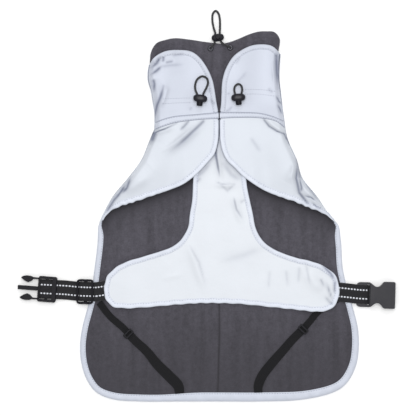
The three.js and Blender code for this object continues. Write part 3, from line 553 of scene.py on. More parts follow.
def front_plain(x, y):
    """Their upper side without the finer creases, rolled down to a rim at the side fold and
    lower towards the tips, where the cloth thins out into the flank's tape."""
    away, rise = front_rise(x, y)
    full = ON_LINING + rise + folds(FRONT_FOLDS, x, y) + CLOTH - ROLL_RIM
    tip = 0.5 + 0.5 * smooth(-10, 16, y)
    return ROLL_RIM + full * tip * roll(away, ROLL_RADIUS + FOLD_INSET)


def front_creases(x, y):
    """The height and the painted shade of the finer creases of the fronts and the collar fronts.
    """
    return creases(FRONT_CREASES + COLLAR_CREASES, x, y)


def front_upper(x, y):
    """Their upper side with its finer creases, which fade into the side fold."""
    away, _ = front_rise(x, y)
    return front_plain(x, y) + front_creases(x, y)[0] * smooth(0, 4, away)


def chest_lower(x, y):
    """The underside of the chest panel: flat on the lining, raised over the strap's ends."""
    return ON_LINING + BAND_END_RISE * smooth(66, 126, np.abs(x - CHEST_MIDDLE))


def chest_upper(x, y):
    """The upper side of the chest panel with its folds and creases."""
    return (chest_lower(x, y) + CLOTH + folds(CHEST_FOLDS, x, y)
            + creases(CHEST_CREASES, x, y)[0])


# ---------------------------------------------------------------- meshes

# Faces that meet at more than this angle keep a sharp edge between them.
SHARP_DEGREES = 50


def build_mesh(name, points, faces, uv=None, wear=None):
    """A mesh from points in millimetres and face arrays of one size each, with an optional
    place on the cloth for each face corner, in metres, and the painted shade of its first points."""
    mesh = bpy.data.meshes.new(name)
    points = (np.asarray(points, float) + (CENTRE_LINE_X, 0, 0)) * MM
    mesh.vertices.add(len(points))
    mesh.vertices.foreach_set("co", points.astype(np.float32).ravel())
    corners = np.concatenate([part.ravel() for part in faces])
    sides = np.concatenate([np.full(len(part), part.shape[1]) for part in faces])
    mesh.loops.add(len(corners))
    mesh.loops.foreach_set("vertex_index", corners.astype(np.int32))
    mesh.polygons.add(len(sides))
    mesh.polygons.foreach_set("loop_start", (np.cumsum(sides) - sides).astype(np.int32))
    mesh.polygons.foreach_set("use_smooth", np.ones(len(sides), bool))
    if uv is not None:
        layer = mesh.uv_layers.new(name="UVMap")
        layer.data.foreach_set("uv", (np.asarray(uv) * MM).astype(np.float32).ravel())
    # Painted shade: a point attribute by which the finishes darken the colour.
    if wear is not None:
        painted_shade = np.zeros(len(points), np.float32)
        painted_shade[:wear.size] = wear.ravel()
        mesh.attributes.new("wear", "FLOAT", "POINT").data.foreach_set("value", painted_shade)
    mesh.update(calc_edges=True)
    return mesh


def add_piece(mesh, finish, slot, *replaces):
    """An object for a mesh, riding on the coat, with its finish and what it replaces; its slot is
    not used.
    """
    piece = bpy.data.objects.new(mesh.name, mesh)
    bpy.context.scene.collection.objects.link(piece)
    mesh.materials.append(finish_named(finish))
    mesh.set_sharp_from_angle(angle=np.radians(SHARP_DEGREES))
    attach(piece, BODY)
    if replaces:
        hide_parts(*replaces)
    return piece


def wall_over(grid, upper, lower):
    """A closed wall over a grid: an upper and a lower face at the given heights, joined round
    the grid's rim. Both have the same rows and columns."""
    rows, columns = grid.shape[:2]
    count = rows * columns
    at = np.arange(count).reshape(rows, columns)
    top = np.stack([at[:-1, :-1], at[:-1, 1:], at[1:, 1:], at[1:, :-1]], -1).reshape(-1, 4)
    ring = np.concatenate([at[0, :-1], at[:-1, -1], at[-1, :0:-1], at[:0:-1, 0]])
    after = np.roll(ring, -1)
    rim = np.stack([ring, ring + count, after + count, after], -1)
    flat = grid.reshape(-1, 3)[ring]
    ahead = np.roll(flat, -1, axis=0)
    if (flat[:, 0] * ahead[:, 1] - ahead[:, 0] * flat[:, 1]).sum() < 0:
        top, rim = top[:, ::-1], rim[:, ::-1]
    points = np.concatenate([grid, grid]).reshape(-1, 3).copy()
    points[:, 2] = np.concatenate([upper.ravel(), lower.ravel()])
    return points, [top, top[:, ::-1] + count, rim]


def ribbon(path, stations, section, lift, widen=None, mitre=None):
    """A closed ribbon: a section of [side, up] points carried along a line over a lift height.

    The section's width is multiplied by a function of the share, and its first end is cut along
    the level direction of the mitre. Its place on the cloth runs round the section and along
    the line.
    """
    section = np.asarray(section, float)
    ahead = np.roll(section, -1, axis=0)
    if (section[:, 0] * ahead[:, 1] - ahead[:, 0] * section[:, 1]).sum() < 0:
        section = section[::-1]
    share = np.linspace(0, 1, stations + 1)
    middle, left = path(share), left_of(path, share)
    if mitre is not None:
        slant = np.array([*mitre, 0.0])
        slant = slant / (slant @ left[0])
        left = left + (slant - left) * (1 - smooth(0, 0.08, share))[:, None]
    if widen is not None:
        left = left * widen(share)[:, None]
    points = middle[:, None, :] + left[:, None, :] * section[None, :, :1]
    points[..., 2] = middle[:, None, 2] + section[None, :, 1]
    points[..., 2] += lift(points[..., 0], points[..., 1])
    return tube_mesh(points)


def ring_faces(rings, sides):
    """The faces of a stack of rings of points: quads between each ring and the next, and one
    face at each end."""
    at = np.arange(rings * sides).reshape(rings, sides)
    after = np.roll(at, -1, axis=1)
    quads = np.stack([at[:-1], after[:-1], after[1:], at[1:]], -1).reshape(-1, 4)
    return quads, np.stack([at[0, ::-1], at[-1]])


def tube_mesh(points):
    """The points, faces and cloth places of a tube: rings of points, closed at both ends. The
    place on the cloth runs round the rings and along the line through their middles."""
    rings, sides = points.shape[:2]
    girth = np.insert(np.cumsum(np.linalg.norm(
        np.roll(points, -1, axis=1) - points, axis=2).mean(0)), 0, 0)
    run = run_along(points.mean(1))
    quads = (rings - 1, sides, 4)
    u = np.broadcast_to(np.stack([girth[:-1], girth[1:], girth[1:], girth[:-1]], -1), quads)
    v = np.broadcast_to(np.stack([run[:-1], run[:-1], run[1:], run[1:]], -1)[:, None], quads)
    uv = np.concatenate([np.stack([u, v], -1).reshape(-1, 2), np.zeros((2 * sides, 2))])
    return points.reshape(-1, 3), ring_faces(rings, sides), uv


def scattered_mesh(name, points):
    """A mesh of many small closed solids, each of them a stack of rings of points."""
    count, rings, sides = points.shape[:3]
    first = np.arange(count)[:, None, None] * rings * sides
    faces = [(first + part).reshape(-1, part.shape[1]) for part in ring_faces(rings, sides)]
    return build_mesh(name, points.reshape(-1, 3), faces)


# ---------------------------------------------------------------- materials

def add_node(tree, kind, inputs=None, **settings):
    """Adds a shader node, sets its properties, then sets or links its inputs, and returns its
    outputs."""
    made = tree.nodes.new("ShaderNode" + kind)
    for name, value in settings.items():
        setattr(made, name, value)
    for name, value in (inputs or {}).items():
        if isinstance(value, bpy.types.NodeSocket):
            tree.links.new(value, made.inputs[name])
        else:
            made.inputs[name].default_value = value
    return made.outputs


def per_mm(millimetres):
    """The scale of a noise whose lumps are this many millimetres apart."""
    return 1 / (millimetres * MM)


def bands_per_mm(millimetres):
    """The scale of a wave texture whose bands are this many millimetres apart."""
    return 2 * np.pi / 20 / (millimetres * MM)


def new_finish(name, colour, roughness, **sockets):
    """A material with a Principled shader: its base colour, roughness and constant sockets."""
    finish = bpy.data.materials.new(name)
    finish.use_nodes = True
    finish.diffuse_color = colour
    shader = finish.node_tree.nodes["Principled BSDF"]
    shader.inputs["Base Color"].default_value = colour
    shader.inputs["Roughness"].default_value = roughness
    for socket, value in sockets.items():
        shader.inputs[socket.replace("_", " ")].default_value = value
    return finish, finish.node_tree, shader


def shade(colour, factor):
    """A colour made darker or lighter by a factor."""
    return (*[min(1.0, part * factor) for part in colour[:3]], 1.0)


def vary(tree, shader, colour, pattern, low, high):
    """Links a colour that runs between two shades of one colour with a pattern."""
    mixed = add_node(tree, "Mix", {"Factor": pattern, "A": shade(colour, low),
                                   "B": shade(colour, high)}, data_type="RGBA")
    tree.links.new(mixed["Result"], shader.inputs["Base Color"])


def paint_shade(tree, shader, shade_tone):
    """Paints shade: mixes the base colour towards a darker one by the mesh's painted shade."""
    even = shader.inputs["Base Color"].links[0].from_socket
    painted_shade = add_node(tree, "Attribute", attribute_name="wear")["Fac"]
    shaded = add_node(tree, "Mix", {"Factor": painted_shade, "A": even, "B": shade_tone}, data_type="RGBA")
    tree.links.new(shaded["Result"], shader.inputs["Base Color"])


def painted_shade_colour(colour):
    """The darker bluish grey that is painted as shade into the silver coating's creases and seams.
    """
    return (colour[0] * 0.33, colour[1] * 0.345, colour[2] * 0.42, 1.0)


def relief(tree, shader, layers):
    """Links a chain of bumps: each layer is a pattern and its height in millimetres."""
    normal = None
    for pattern, height in layers:
        inputs = {"Height": pattern, "Distance": abs(height) * MM, "Strength": 1.0}
        if normal is not None:
            inputs["Normal"] = normal
        normal = add_node(tree, "Bump", inputs, invert=height < 0)["Normal"]
    tree.links.new(normal, shader.inputs["Normal"])


def silver_cloth(name, colour):
    """Plain-woven polyester with a glass-bead reflective coating."""
    # The coating gives the eye a cool satin silver: part mirror, part cloth, and darker in folds,
    # partly by painted shade.
    finish, tree, shader = new_finish(name, colour, 0.52, Metallic=0.16, Sheen_Weight=0.12,
                                      Sheen_Roughness=0.4, Sheen_Tint=(0.9, 0.93, 1.0, 1.0))
    place = add_node(tree, "TexCoord")["Object"]
    # The real threads are 0.25 mm apart; they are drawn at 0.8 mm so that the weave shows.
    warp, weft = (add_node(tree, "TexWave", {"Vector": place, "Scale": bands_per_mm(0.8),
                                             "Distortion": 0.4, "Detail": 1.0},
                           bands_direction=way)["Fac"] for way in "XY")
    weave = add_node(tree, "Math", {0: warp, 1: weft}, operation="MULTIPLY")["Value"]
    slack = add_node(tree, "TexNoise", {"Vector": place, "Scale": per_mm(34), "Detail": 2.0,
                                        "Roughness": 0.4})["Fac"]
    crush = add_node(tree, "TexNoise", {"Vector": place, "Scale": per_mm(9), "Detail": 3.0,
                                        "Roughness": 0.55, "Distortion": 0.4})["Fac"]
    beads = add_node(tree, "TexNoise", {"Vector": place, "Scale": per_mm(1.1),
                                        "Detail": 2.0})["Fac"]
    tone = add_node(tree, "Math", {0: slack, 1: beads}, operation="ADD")["Value"]
    half = add_node(tree, "Math", {0: tone, 1: 0.5}, operation="MULTIPLY")["Value"]
    vary(tree, shader, colour, half, 0.93, 1.07)
    # Painted shade: the colour turns a darker bluish grey along the creases.
    paint_shade(tree, shader, painted_shade_colour(colour))
    gloss = add_node(tree, "MapRange", {"Value": beads, "To Min": 0.46, "To Max": 0.6})
    tree.links.new(gloss["Result"], shader.inputs["Roughness"])
    relief(tree, shader, [(slack, 0.5), (crush, 0.14), (weave, 0.012)])
    return finish


def silver_tape(name, colour):
    """Twill binding tape with the same reflective coating."""
    # Fine slanting ribs, a little duller than the cloth, so that edges read as a rim.
    finish, tree, shader = new_finish(name, colour, 0.54, Metallic=0.15, Sheen_Weight=0.12,
                                      Sheen_Roughness=0.4)
    cloth = add_node(tree, "TexCoord")["UV"]
    slant = add_node(tree, "Mapping", {"Vector": cloth, "Rotation": (0, 0, np.radians(35))})
    twill = add_node(tree, "TexWave", {"Vector": slant["Vector"], "Scale": bands_per_mm(1.0),
                                       "Distortion": 0.3})["Fac"]
    pull = add_node(tree, "TexNoise", {"Vector": cloth, "Scale": per_mm(11), "Detail": 2.0})
    vary(tree, shader, colour, pull["Fac"], 0.92, 1.08)
    # Painted shade where the creases cross the tape.
    paint_shade(tree, shader, painted_shade_colour(colour))
    relief(tree, shader, [(pull["Fac"], 0.3), (twill, 0.03)])
    return finish


def fleece_lining(name, colour):
    """Brushed polyester fleece."""
    # A matt charcoal nap in soft clumps of a few millimetres, with paler fibre ends on top.
    finish, tree, shader = new_finish(name, colour, 0.95, Sheen_Weight=0.25,
                                      Sheen_Roughness=0.6, Specular_IOR_Level=0.2)
    place = add_node(tree, "TexCoord")["Object"]
    nap = add_node(tree, "TexNoise", {"Vector": place, "Scale": per_mm(1.6), "Detail": 4.0,
                                      "Roughness": 0.7})["Fac"]
    clump = add_node(tree, "TexNoise", {"Vector": place, "Scale": per_mm(5), "Detail": 3.0,
                                        "Roughness": 0.6})["Fac"]
    # The nap was brushed from collar to hem, which leaves long faint streaks.
    comb = add_node(tree, "Mapping", {"Vector": place, "Scale": (1.0, 0.12, 1.0)})["Vector"]
    lay = add_node(tree, "TexNoise", {"Vector": comb, "Scale": per_mm(9), "Detail": 3.0})
    both = add_node(tree, "Math", {0: nap, 1: clump}, operation="ADD")["Value"]
    pile = add_node(tree, "Math", {0: both, 1: lay["Fac"]}, operation="ADD")["Value"]
    tone = add_node(tree, "MapRange", {"Value": pile, "From Min": 1.1, "From Max": 1.9})
    vary(tree, shader, colour, tone["Result"], 0.68, 1.32)
    # Painted shade along its creases and seam and a painted shadow beside the fronts' edges;
    # it is also darker towards the hem.
    paint_shade(tree, shader, shade(colour, 0.4))
    relief(tree, shader, [(clump, 0.5), (nap, 0.3)])
    return finish


def woven_strap(name, colour, rib, across, height, roughness, sheen):
    """Woven narrow fabric: webbing or braided elastic, with ribs along and across it."""
    # Black yarn with a painted gleam, a lighter colour on the crests of its ribs, and a real sheen
    # that is weaker on rougher yarn.
    finish, tree, shader = new_finish(name, colour, roughness, Sheen_Weight=sheen,
                                      Sheen_Roughness=0.5, Specular_IOR_Level=0.1 + sheen)
    cloth = add_node(tree, "TexCoord")["UV"]
    long_rib = add_node(tree, "TexWave", {"Vector": cloth, "Scale": bands_per_mm(rib)})["Fac"]
    cross_rib = add_node(tree, "TexWave", {"Vector": cloth, "Scale": bands_per_mm(across)},
                         bands_direction="Y")["Fac"]
    yarn = add_node(tree, "Math", {0: long_rib, 1: cross_rib}, operation="MULTIPLY")["Value"]
    wear = add_node(tree, "TexNoise", {"Vector": cloth, "Scale": per_mm(6), "Detail": 3.0})
    tone = add_node(tree, "Math", {0: yarn, 1: wear["Fac"]}, operation="MULTIPLY")["Value"]
    # Painted gleam: the colour runs from 0.75 to 1.9 times its own along the ribs.
    vary(tree, shader, colour, tone, 0.75, 1.9)
    relief(tree, shader, [(yarn, height), (wear["Fac"], 0.1)])
    return finish


def moulded_acetal(name, colour, gloss, mirror):
    """Injection-moulded acetal, of a roughness and a strength of its mirror gloss."""
    # Near-black plastic with a fine spark-eroded grain and slightly polished high spots.
    finish, tree, shader = new_finish(name, colour, gloss, IOR=1.48, Specular_IOR_Level=mirror)
    place = add_node(tree, "TexCoord")["Object"]
    grain = add_node(tree, "TexNoise", {"Vector": place, "Scale": per_mm(0.7),
                                        "Detail": 3.0})["Fac"]
    wear = add_node(tree, "TexNoise", {"Vector": place, "Scale": per_mm(6),
                                       "Detail": 2.0})["Fac"]
    vary(tree, shader, colour, wear, 0.85, 1.3)
    polish = add_node(tree, "MapRange", {"Value": wear, "To Min": gloss - 0.1,
                                         "To Max": gloss + 0.06})
    tree.links.new(polish["Result"], shader.inputs["Roughness"])
    relief(tree, shader, [(grain, 0.03)])
    return finish


def plated_brass(name, colour):
    """Brass eyelet with a dark nickel plating."""
    # A small hard glint round a rolled rim, rubbed brighter in places.
    finish, tree, shader = new_finish(name, colour, 0.3, Metallic=1.0)
    place = add_node(tree, "TexCoord")["Object"]
    patch = add_node(tree, "TexNoise", {"Vector": place, "Scale": per_mm(2.5),
                                        "Detail": 3.0})["Fac"]
    vary(tree, shader, colour, patch, 0.6, 1.8)
    gloss = add_node(tree, "MapRange", {"Value": patch, "To Min": 0.22, "To Max": 0.42})
    tree.links.new(gloss["Result"], shader.inputs["Roughness"])
    relief(tree, shader, [(patch, 0.02)])
    return finish


def spun_yarn(name, colour, roughness=0.7):
    """Spun polyester: sewing thread, reflective yarn."""
    # A soft twisted strand, uneven in tone from stitch to stitch.
    finish, tree, shader = new_finish(name, colour, roughness, Sheen_Weight=0.2)
    place = add_node(tree, "TexCoord")["Object"]
    uneven = add_node(tree, "TexNoise", {"Vector": place, "Scale": per_mm(3), "Detail": 2.0})
    ply = add_node(tree, "TexNoise", {"Vector": place, "Scale": per_mm(0.5)})
    vary(tree, shader, colour, uneven["Fac"], 0.85, 1.12)
    relief(tree, shader, [(ply["Fac"], 0.05)])
    return finish


def braided_cord(name, colour):
    """Braided polyester drawcord."""
    # Slanting strands that cross in small diamonds, black, with a painted gleam: a lighter colour
    # on the strands.
    finish, tree, shader = new_finish(name, colour, 0.62, Sheen_Weight=0.2,
                                      Sheen_Roughness=0.5)
    cloth = add_node(tree, "TexCoord")["UV"]
    strands = []
    for turn in (40, -40):
        slant = add_node(tree, "Mapping", {"Vector": cloth, "Rotation": (0, 0, np.radians(turn))})
        strands.append(add_node(tree, "TexWave", {"Vector": slant["Vector"],
                                                  "Scale": bands_per_mm(0.9)})["Fac"])
    braid = add_node(tree, "Math", {0: strands[0], 1: strands[1]}, operation="MAXIMUM")["Value"]
    # Painted gleam: the colour runs from 0.7 to 1.7 times its own along the strands.
    vary(tree, shader, colour, braid, 0.7, 1.7)
    relief(tree, shader, [(braid, 0.12)])
    return finish


# What makes each finish, the name of its colour, and its other values.
FINISHES = {
    "silver_cloth_collar": (silver_cloth, "collar"),
    "silver_cloth_fronts": (silver_cloth, "fronts"),
    "silver_cloth_chest": (silver_cloth, "chest"),
    "silver_twill_tape": (silver_tape, "edging"),
    "silver_binding_tape": (silver_tape, "binding"),
    "brushed_fleece": (fleece_lining, "fleece"),
    "polyester_webbing": (woven_strap, "webbing", 1.8, 1.3, 0.25, 0.7, 0.2),
    "braided_elastic": (woven_strap, "elastic", 1.5, 0.9, 0.2, 0.8, 0.12),
    "reflective_yarn": (spun_yarn, "stripe", 0.45),
    "sewing_thread": (spun_yarn, "thread"),
    "moulded_acetal": (moulded_acetal, "plastic", 0.4, 0.34),
    "matt_moulded_acetal": (moulded_acetal, "matt_plastic", 0.5, 0.2),
    "plated_brass": (plated_brass, "metal"),
    "braided_polyester_cord": (braided_cord, "cord"),
}


def finish_named(name):
    """The finish of that name, made when it is first asked for."""
    known = bpy.data.materials.get(name)
    if known is not None:
        return known
    if name not in FINISHES:
        raise ValueError(f"there is no finish named {name}")
    maker, colour, *values = FINISHES[name]
    return maker(name, getattr(colours(), colour), *values)


# ---------------------------------------------------------------- stitches and tapes

def sew(name, lines):
    """A piece of lockstitches along lines, each line given by its points at even steps.

    A stitch is a spindle of thread: five rings of six points, which narrow towards its ends and
    sink into the cloth by the square of the place along it.
    """
    half = sizes().stitch / MM / 2
    thick = sizes().thread / MM / 2
    pitch = sizes().stitch_pitch / MM
    along = np.array([-1.0, -0.6, 0.0, 0.6, 1.0])
    turn = np.arange(6) * np.pi / 3
    girth = thick * np.array([0.45, 0.9, 1.0, 0.9, 0.45])
    local = np.stack(np.broadcast_arrays(
        half * along[:, None], girth[:, None] * np.cos(turn),
        girth[:, None] * np.sin(turn) - STITCH_SINK * along[:, None] ** 2), -1)
    stitches = []
    for line in lines:
        run = run_along(line)
        place = np.arange(pitch / 2, run[-1], pitch)
        way = unit(points_at(line, run, place + 0.5) - points_at(line, run, place - 0.5))
        side = unit(np.stack([-way[:, 1], way[:, 0], 0 * place], -1))
        axes = np.stack([way, side, np.cross(way, side)], 1)
        stitches.append(points_at(line, run, place)[:, None, None]
                        + np.einsum("abk,nkc->nabc", local, axes))
    return add_piece(scattered_mesh(name, np.concatenate(stitches)), "sewing_thread",
                     "binding_tape")


def seam_points(path, lift, steps=400):
    """The points of a stitch line on a surface whose height is a function of x and y."""
    line = path(np.linspace(0, 1, steps + 1))
    line[:, 2] = lift(line[:, 0], line[:, 1])
    return line


def edge_section(sign):
    """The section of a narrow tape folded over an edge: a lip down the edge's outer side, a soft
    swell that thins out inwards, and the groove where it is sewn down."""
    width, base, turn = EDGE_TAPE_WIDTH, -CLOTH, TAPE_WRAP - 2 * GAP
    rows = [(0.35, base), (0.08, base + 0.5), (0.0, base + 1.0), (0.04, -0.1), (0.2, 0.45),
            (0.7, 0.85), (1.5, 1.0), (2.6, 0.95), (width - 2.4, 0.85), (width - 1.7, 0.72),
            (width - 1.2, 0.62), (width - 0.7, 0.66), (width - 0.2, 0.55), (width, 0.25),
            (width, -0.5), (turn, -0.5), (turn, base)]
    return [(sign * side, up) for side, up in rows]


# The neck band's overlap on its seams, where the tapes' stitches lie, and the sign of the way
# from a side fold to the middle, to the left of a line that runs down the coat.
OVERLAP = 0.7
STITCH_INSET = EDGE_TAPE_WIDTH - 1.2
STITCH_LIFT = 0.62
STITCH_SINK = 0.4
HEM_STITCH_INSET = HEM_TAPE_WIDTH - 1.3
INWARD = {"left": 1, "right": -1}


def puckered(lift):
    """A surface's height with the small uneven waves that the sewing draws into a tape: the
    product of two sines along and across the level plane."""
    return lambda x, y: (lift(x, y) + 0.16 * np.sin(x / 2.1 + 1.7 * np.sin(y / 13))
                         * np.sin(y / 2.6 + 1.3 * np.sin(x / 17)))


def sewn_tape(name, edge, sign, lift, stations, replaced, table, mitre=None, widen=None,
              finish="silver_twill_tape"):
    """An edge tape, with painted shade where the creases of a table cross it, and the line of its
    stitches.
    """
    wide = widen or np.ones_like
    points, faces, uv = ribbon(edge, stations, edge_section(sign), puckered(lift), wide, mitre)
    mesh = build_mesh(name, points, faces, uv, creases(table, points[:, 0], points[:, 1])[1])
    piece = add_piece(mesh, finish, "binding_tape", replaced)

    def inner(share):
        """The line of the stitches, inside the tape's inner edge by a set distance."""
        return edge(share) + left_of(edge, share) * sign * STITCH_INSET * wide(share)[:, None]

    return piece, seam_points(inner, lambda x, y: puckered(lift)(x, y) + STITCH_LIFT)


# ---------------------------------------------------------------- panels

def front_painted_shade(x, y):
    """The painted shade in the creases of the fronts and the collar fronts."""
    return front_creases(x, y)[1]


def folded_panel(name, hand, panel, finish, slot, replaced, columns, rows, upper=front_upper,
                 wear=front_painted_shade, power=1.2):
    """A panel that runs from a side fold to a free edge.

    The grid lies between the free edge and a line just inside the fold, closer together towards
    the top and the fold when the powers are over 1. More columns follow from there out to the
    fold, where both faces come down to the surface.
    """
    fold, free = panel["fold"], panel["free"]
    inner = offset(fold, INWARD[hand] * FOLD_INSET)
    v = np.linspace(0, 1, rows) ** power
    u = np.linspace(0, 1, columns) ** 1.25
    grid = fill_between(inner, free, panel["top"], panel["bottom"], u, v)
    shift = grid[:, 0] - inner(v)
    steps = np.array([0.0, 0.12, 0.4, 0.8, TAPE_WRAP]) * INWARD[hand]
    rim = np.stack([offset(fold, step)(v) + shift for step in steps], 1)
    grid = np.concatenate([rim, grid], 1)
    x, y = grid[..., 0], grid[..., 1]
    top = upper(x, y)
    bottom = np.minimum(front_lower(x, y), top - 0.6)
    bottom[:, :len(steps)] = 0
    mesh = build_mesh(name, *wall_over(grid, top, bottom), wear=np.clip(wear(x, y), 0, 1))
    return add_piece(mesh, finish, slot, replaced)


def edges_inside(outline, inset, corners):
    """The left, right and bottom edges of a panel inside an outline that runs from the panel's
    top left round to its top right, by way of the table rows of its two lower corners."""
    inner = offset(outline, inset)
    first, last = (share_at(outline, corner) for corner in corners)
    return between(inner, 0, first), between(inner, 1, last), between(inner, first, last)


def line_down(edges, share):
    """The line down a panel at a share of its width, between its left, right, top and bottom."""
    return lambda down: fill_between(*edges, np.array([share]), down)[:, 0]


def outline_of(left, bottom, right, top):
    """The closed line of points round a panel, from its four edges, each a function of a share."""
    share = np.linspace(0, 1, 120)
    return np.concatenate([left(share), bottom(share), right(share)[::-1], top(share)[::-1]])


# ---------------------------------------------------------------- operators

# The point that the camera looks at, in millimetres of the shared frame.
VIEW_MIDDLE = (2.2, 10.8, 6.0)


class RAINCOAT_OT_camera(bpy.types.Operator):
    """A camera that looks straight down at the coat"""

    bl_idname = "raincoat.camera"
    bl_label = "Camera"

    def execute(self, context):
        data = bpy.data.cameras.new("camera")
        data.lens = sizes().camera_lens / MM
        aim = np.array(VIEW_MIDDLE) * MM
        distance = sizes().view_width * data.lens / data.sensor_width
        data.clip_end = 4 * distance
        camera = bpy.data.objects.new("camera", data)
        camera.location = aim + (0, 0, distance)
        context.scene.collection.objects.link(camera)
        context.scene.camera = camera
        return {"FINISHED"}


# The length of cord over which a strand of its braid winds round once.
BRAID_PITCH = 3.2


def on_collar(x, y):
    """The height of the collar's tape at a point, where the cord locks lie."""
    return float(front_plain(np.array(float(x)), np.array(float(y)))) + TAPE_LIFT + TAPE + GAP


def round_cord(name, rows, replaced):
    """A cord along a line: rings of points whose radius swells where its strands cross.

    The radius is the cord's own times 0.97, plus 0.03 of it times the product of two waves that
    wind round the cord in opposite ways.
    """
    path = curve(rows)
    share = np.linspace(0, 1, 121)
    middle, way = path(share), unit(heading(path, share))
    up = np.cross(way, left_of(path, share))
    side = np.cross(up, way)
    run = run_along(middle)
    turn = np.arange(16) * np.pi / 8
    wind = run[:, None] * 2 * np.pi / BRAID_PITCH
    braid = np.cos(4 * turn + wind) * np.cos(4 * turn - wind)
    radius = sizes().cord / MM / 2 * (0.97 + 0.03 * braid)
    points = (middle[:, None] + (radius * np.cos(turn))[..., None] * side[:, None]
              + (radius * np.sin(turn))[..., None] * up[:, None])
    piece = add_piece(build_mesh(name, *tube_mesh(points)), "braided_polyester_cord", "cord",
                      *replaced)
    return piece


class RAINCOAT_OT_drawcords(bpy.types.Operator):
    """The collar's three drawcords, each a loop that stands out of its cord lock"""

    bl_idname = "raincoat.drawcords"
    bl_label = "Drawcords"

    def execute(self, context):
        lie = sizes().cord / MM / 2 + GAP

        def over(x, y, up=0.0):
            """A row of a cord that lies on the collar, or a little above it."""
            return [x, y, on_collar(x, y) + lie + up]

        left_z = on_collar(-24, 152) + 4.6
        right_z = on_collar(25, 153) + 4.6
        round_cord("drawcord_left", [
            [-28, 156.3, left_z], [-28.8, 159, left_z], over(-30.6, 163.5, 1.5),
            over(-31.1, 169.9), over(-28.3, 177.7), over(-21.8, 181.6), over(-16, 179),
            over(-14.4, 173.4), over(-16.6, 166.4, 1.5), [-20.2, 159.2, left_z],
            [-20.9, 155.8, left_z]],
            ["cord_left_loop"])
        round_cord("drawcord_right", [
            [21.4, 156.9, right_z], [20.4, 159.5, right_z], over(19.6, 164.3, 1),
            over(21.1, 169.3), over(25.2, 171.5), over(28.7, 169.3), over(29.9, 164.3, 1),
            [29.2, 160.2, right_z], [28.6, 157.4, right_z]],
            ["cord_right_loop"])
        round_cord("drawcord_top", [
            [-10.8, 219, 4.7], [-9.8, 220.8, 6.6], [-7.4, 223.4, 6.4], [-5.9, 225.6, 5.8],
            [-5.2, 232, 5.4], [-4.9, 238, 5.4], [-7, 245, 4], [-8.8, 257, 1.7],
            [-7.8, 264.4, 1.6], [-4.3, 267.6, 1.6], [-1, 264.6, 1.6], [0.9, 257.4, 1.7],
            [1.2, 245, 4], [0.9, 238.6, 5.4], [1.6, 232, 5.4], [2.5, 227.2, 5.6],
            [6, 224, 6.6], [11, 221.4, 6.8], [14, 220, 4.7]],
            ["cord_top_loop", "cord_top_leg_left", "cord_top_leg_right"])
        return {"FINISHED"}


def lining_half(hand, edges, first, last):
    """Half of the fleece lining, between two shares of the back's width.

    It dips at the seam down its middle and at its creases, and sags a little in between. It is
    darker towards the hem, has painted shade along the creases and the seam, and has a painted
    shadow beside the fronts' edges.
    """
    grid = fill_between(*edges, np.linspace(first, last, 90), np.linspace(0, 1, 150))
    x, y = grid[..., 0], grid[..., 1]
    seam = distance_to(grid[:, -1 if hand == "left" else 0], x, y)[0]
    soft, painted_shade = creases(LINING_CREASES, x, y)
    height = LINING_TOP - 1.1 * bell(seam, 1.6) + np.maximum(soft, -0.8) \
        - 0.25 * (1 + np.sin(x / 9 + 2 * np.sin(y / 31))) / 2
    # Darker towards the hem, painted shade in the creases and along the seam, and a painted shadow
    # beside the fronts' edges.
    painted_shade = np.clip(0.53 * smooth(-60, -225, y) + 0.3 * painted_shade + 1.25 * near_fronts(x, y, 11)
                   + 0.7 * bell(seam, 0.9), 0, 1)
    wall = wall_over(grid, height, np.full_like(height, ON_SHELL))
    return add_piece(build_mesh(f"lining_{hand}_fleece", *wall, wear=painted_shade), "brushed_fleece",
                     "fleece", f"lining_{hand}")


def hem_tape(outline):
    """The tape folded over the hem, from one front's tip round to the other's, and its stitches.

    Its section climbs the outside of the hem, turns over onto the lining and thins out inwards
    to the groove that it is sewn down in.
    """
    low = between(outline, *(share_at(outline, end) for end in HEM_TAPE_ENDS))
    top = ON_LINING + TAPE
    section = [(0.7, 0), (0.2, 0.5), (0.0, 1.4), (0.0, 2.5), (0.2, 3.2), (0.8, 3.8),
               (1.8, top + 0.05), (3.4, top + 0.1), (5.6, top - 0.05), (6.9, top - 0.25),
               (7.7, top - 0.5), (8.3, top - 0.35), (8.8, top - 0.45),
               (HEM_TAPE_WIDTH, top - 0.7), (HEM_TAPE_WIDTH, LINING_TOP - 1),
               (TAPE_WRAP, LINING_TOP - 1), (TAPE_WRAP, 0)]

    def edge(share):
        """The hem, with the tape's ends drawn in under the fronts' tips."""
        path = low(share)
        return path + left_of(low, share) * (0.7 * smooth(-14, -6, path[..., 1:2]))

    def widen(share):
        """The tape's width: it narrows at its ends and is sewn on unevenly, full along the
        bottom and widest from its middle to its right corner."""
        ends = 0.35 + 0.65 * smooth(0, 0.032, share) * (1 - smooth(0.968, 1, share))
        full = 0.18 * smooth(0.24, 0.34, share) * (1 - smooth(0.66, 0.76, share))
        broad = (0.3 * smooth(0.40, 0.48, share) * (1 - 0.35 * smooth(0.60, 0.66, share))
                 * (1 - smooth(0.76, 0.88, share)))
        return ends * (0.82 + full + broad)

    def seam(share):
        """The line of the tape's stitches."""
        return edge(share) + left_of(edge, share) * widen(share)[:, None] * HEM_STITCH_INSET

    points, faces, uv = ribbon(edge, 420, section, puckered(lambda x, y: 0 * x), widen=widen)
    points[:, 2] = np.maximum(points[:, 2], 0) * (1 - 0.35 * smooth(-13, -7, points[:, 1]))
    tape = add_piece(build_mesh("hem_tape", points, faces, uv), "silver_binding_tape",
                     "binding_tape", "hem_binding")
    line = seam_points(seam, puckered(lambda x, y: 0 * x + top - 0.42), 900)
    return tape, sew("hem_stitches", [line])


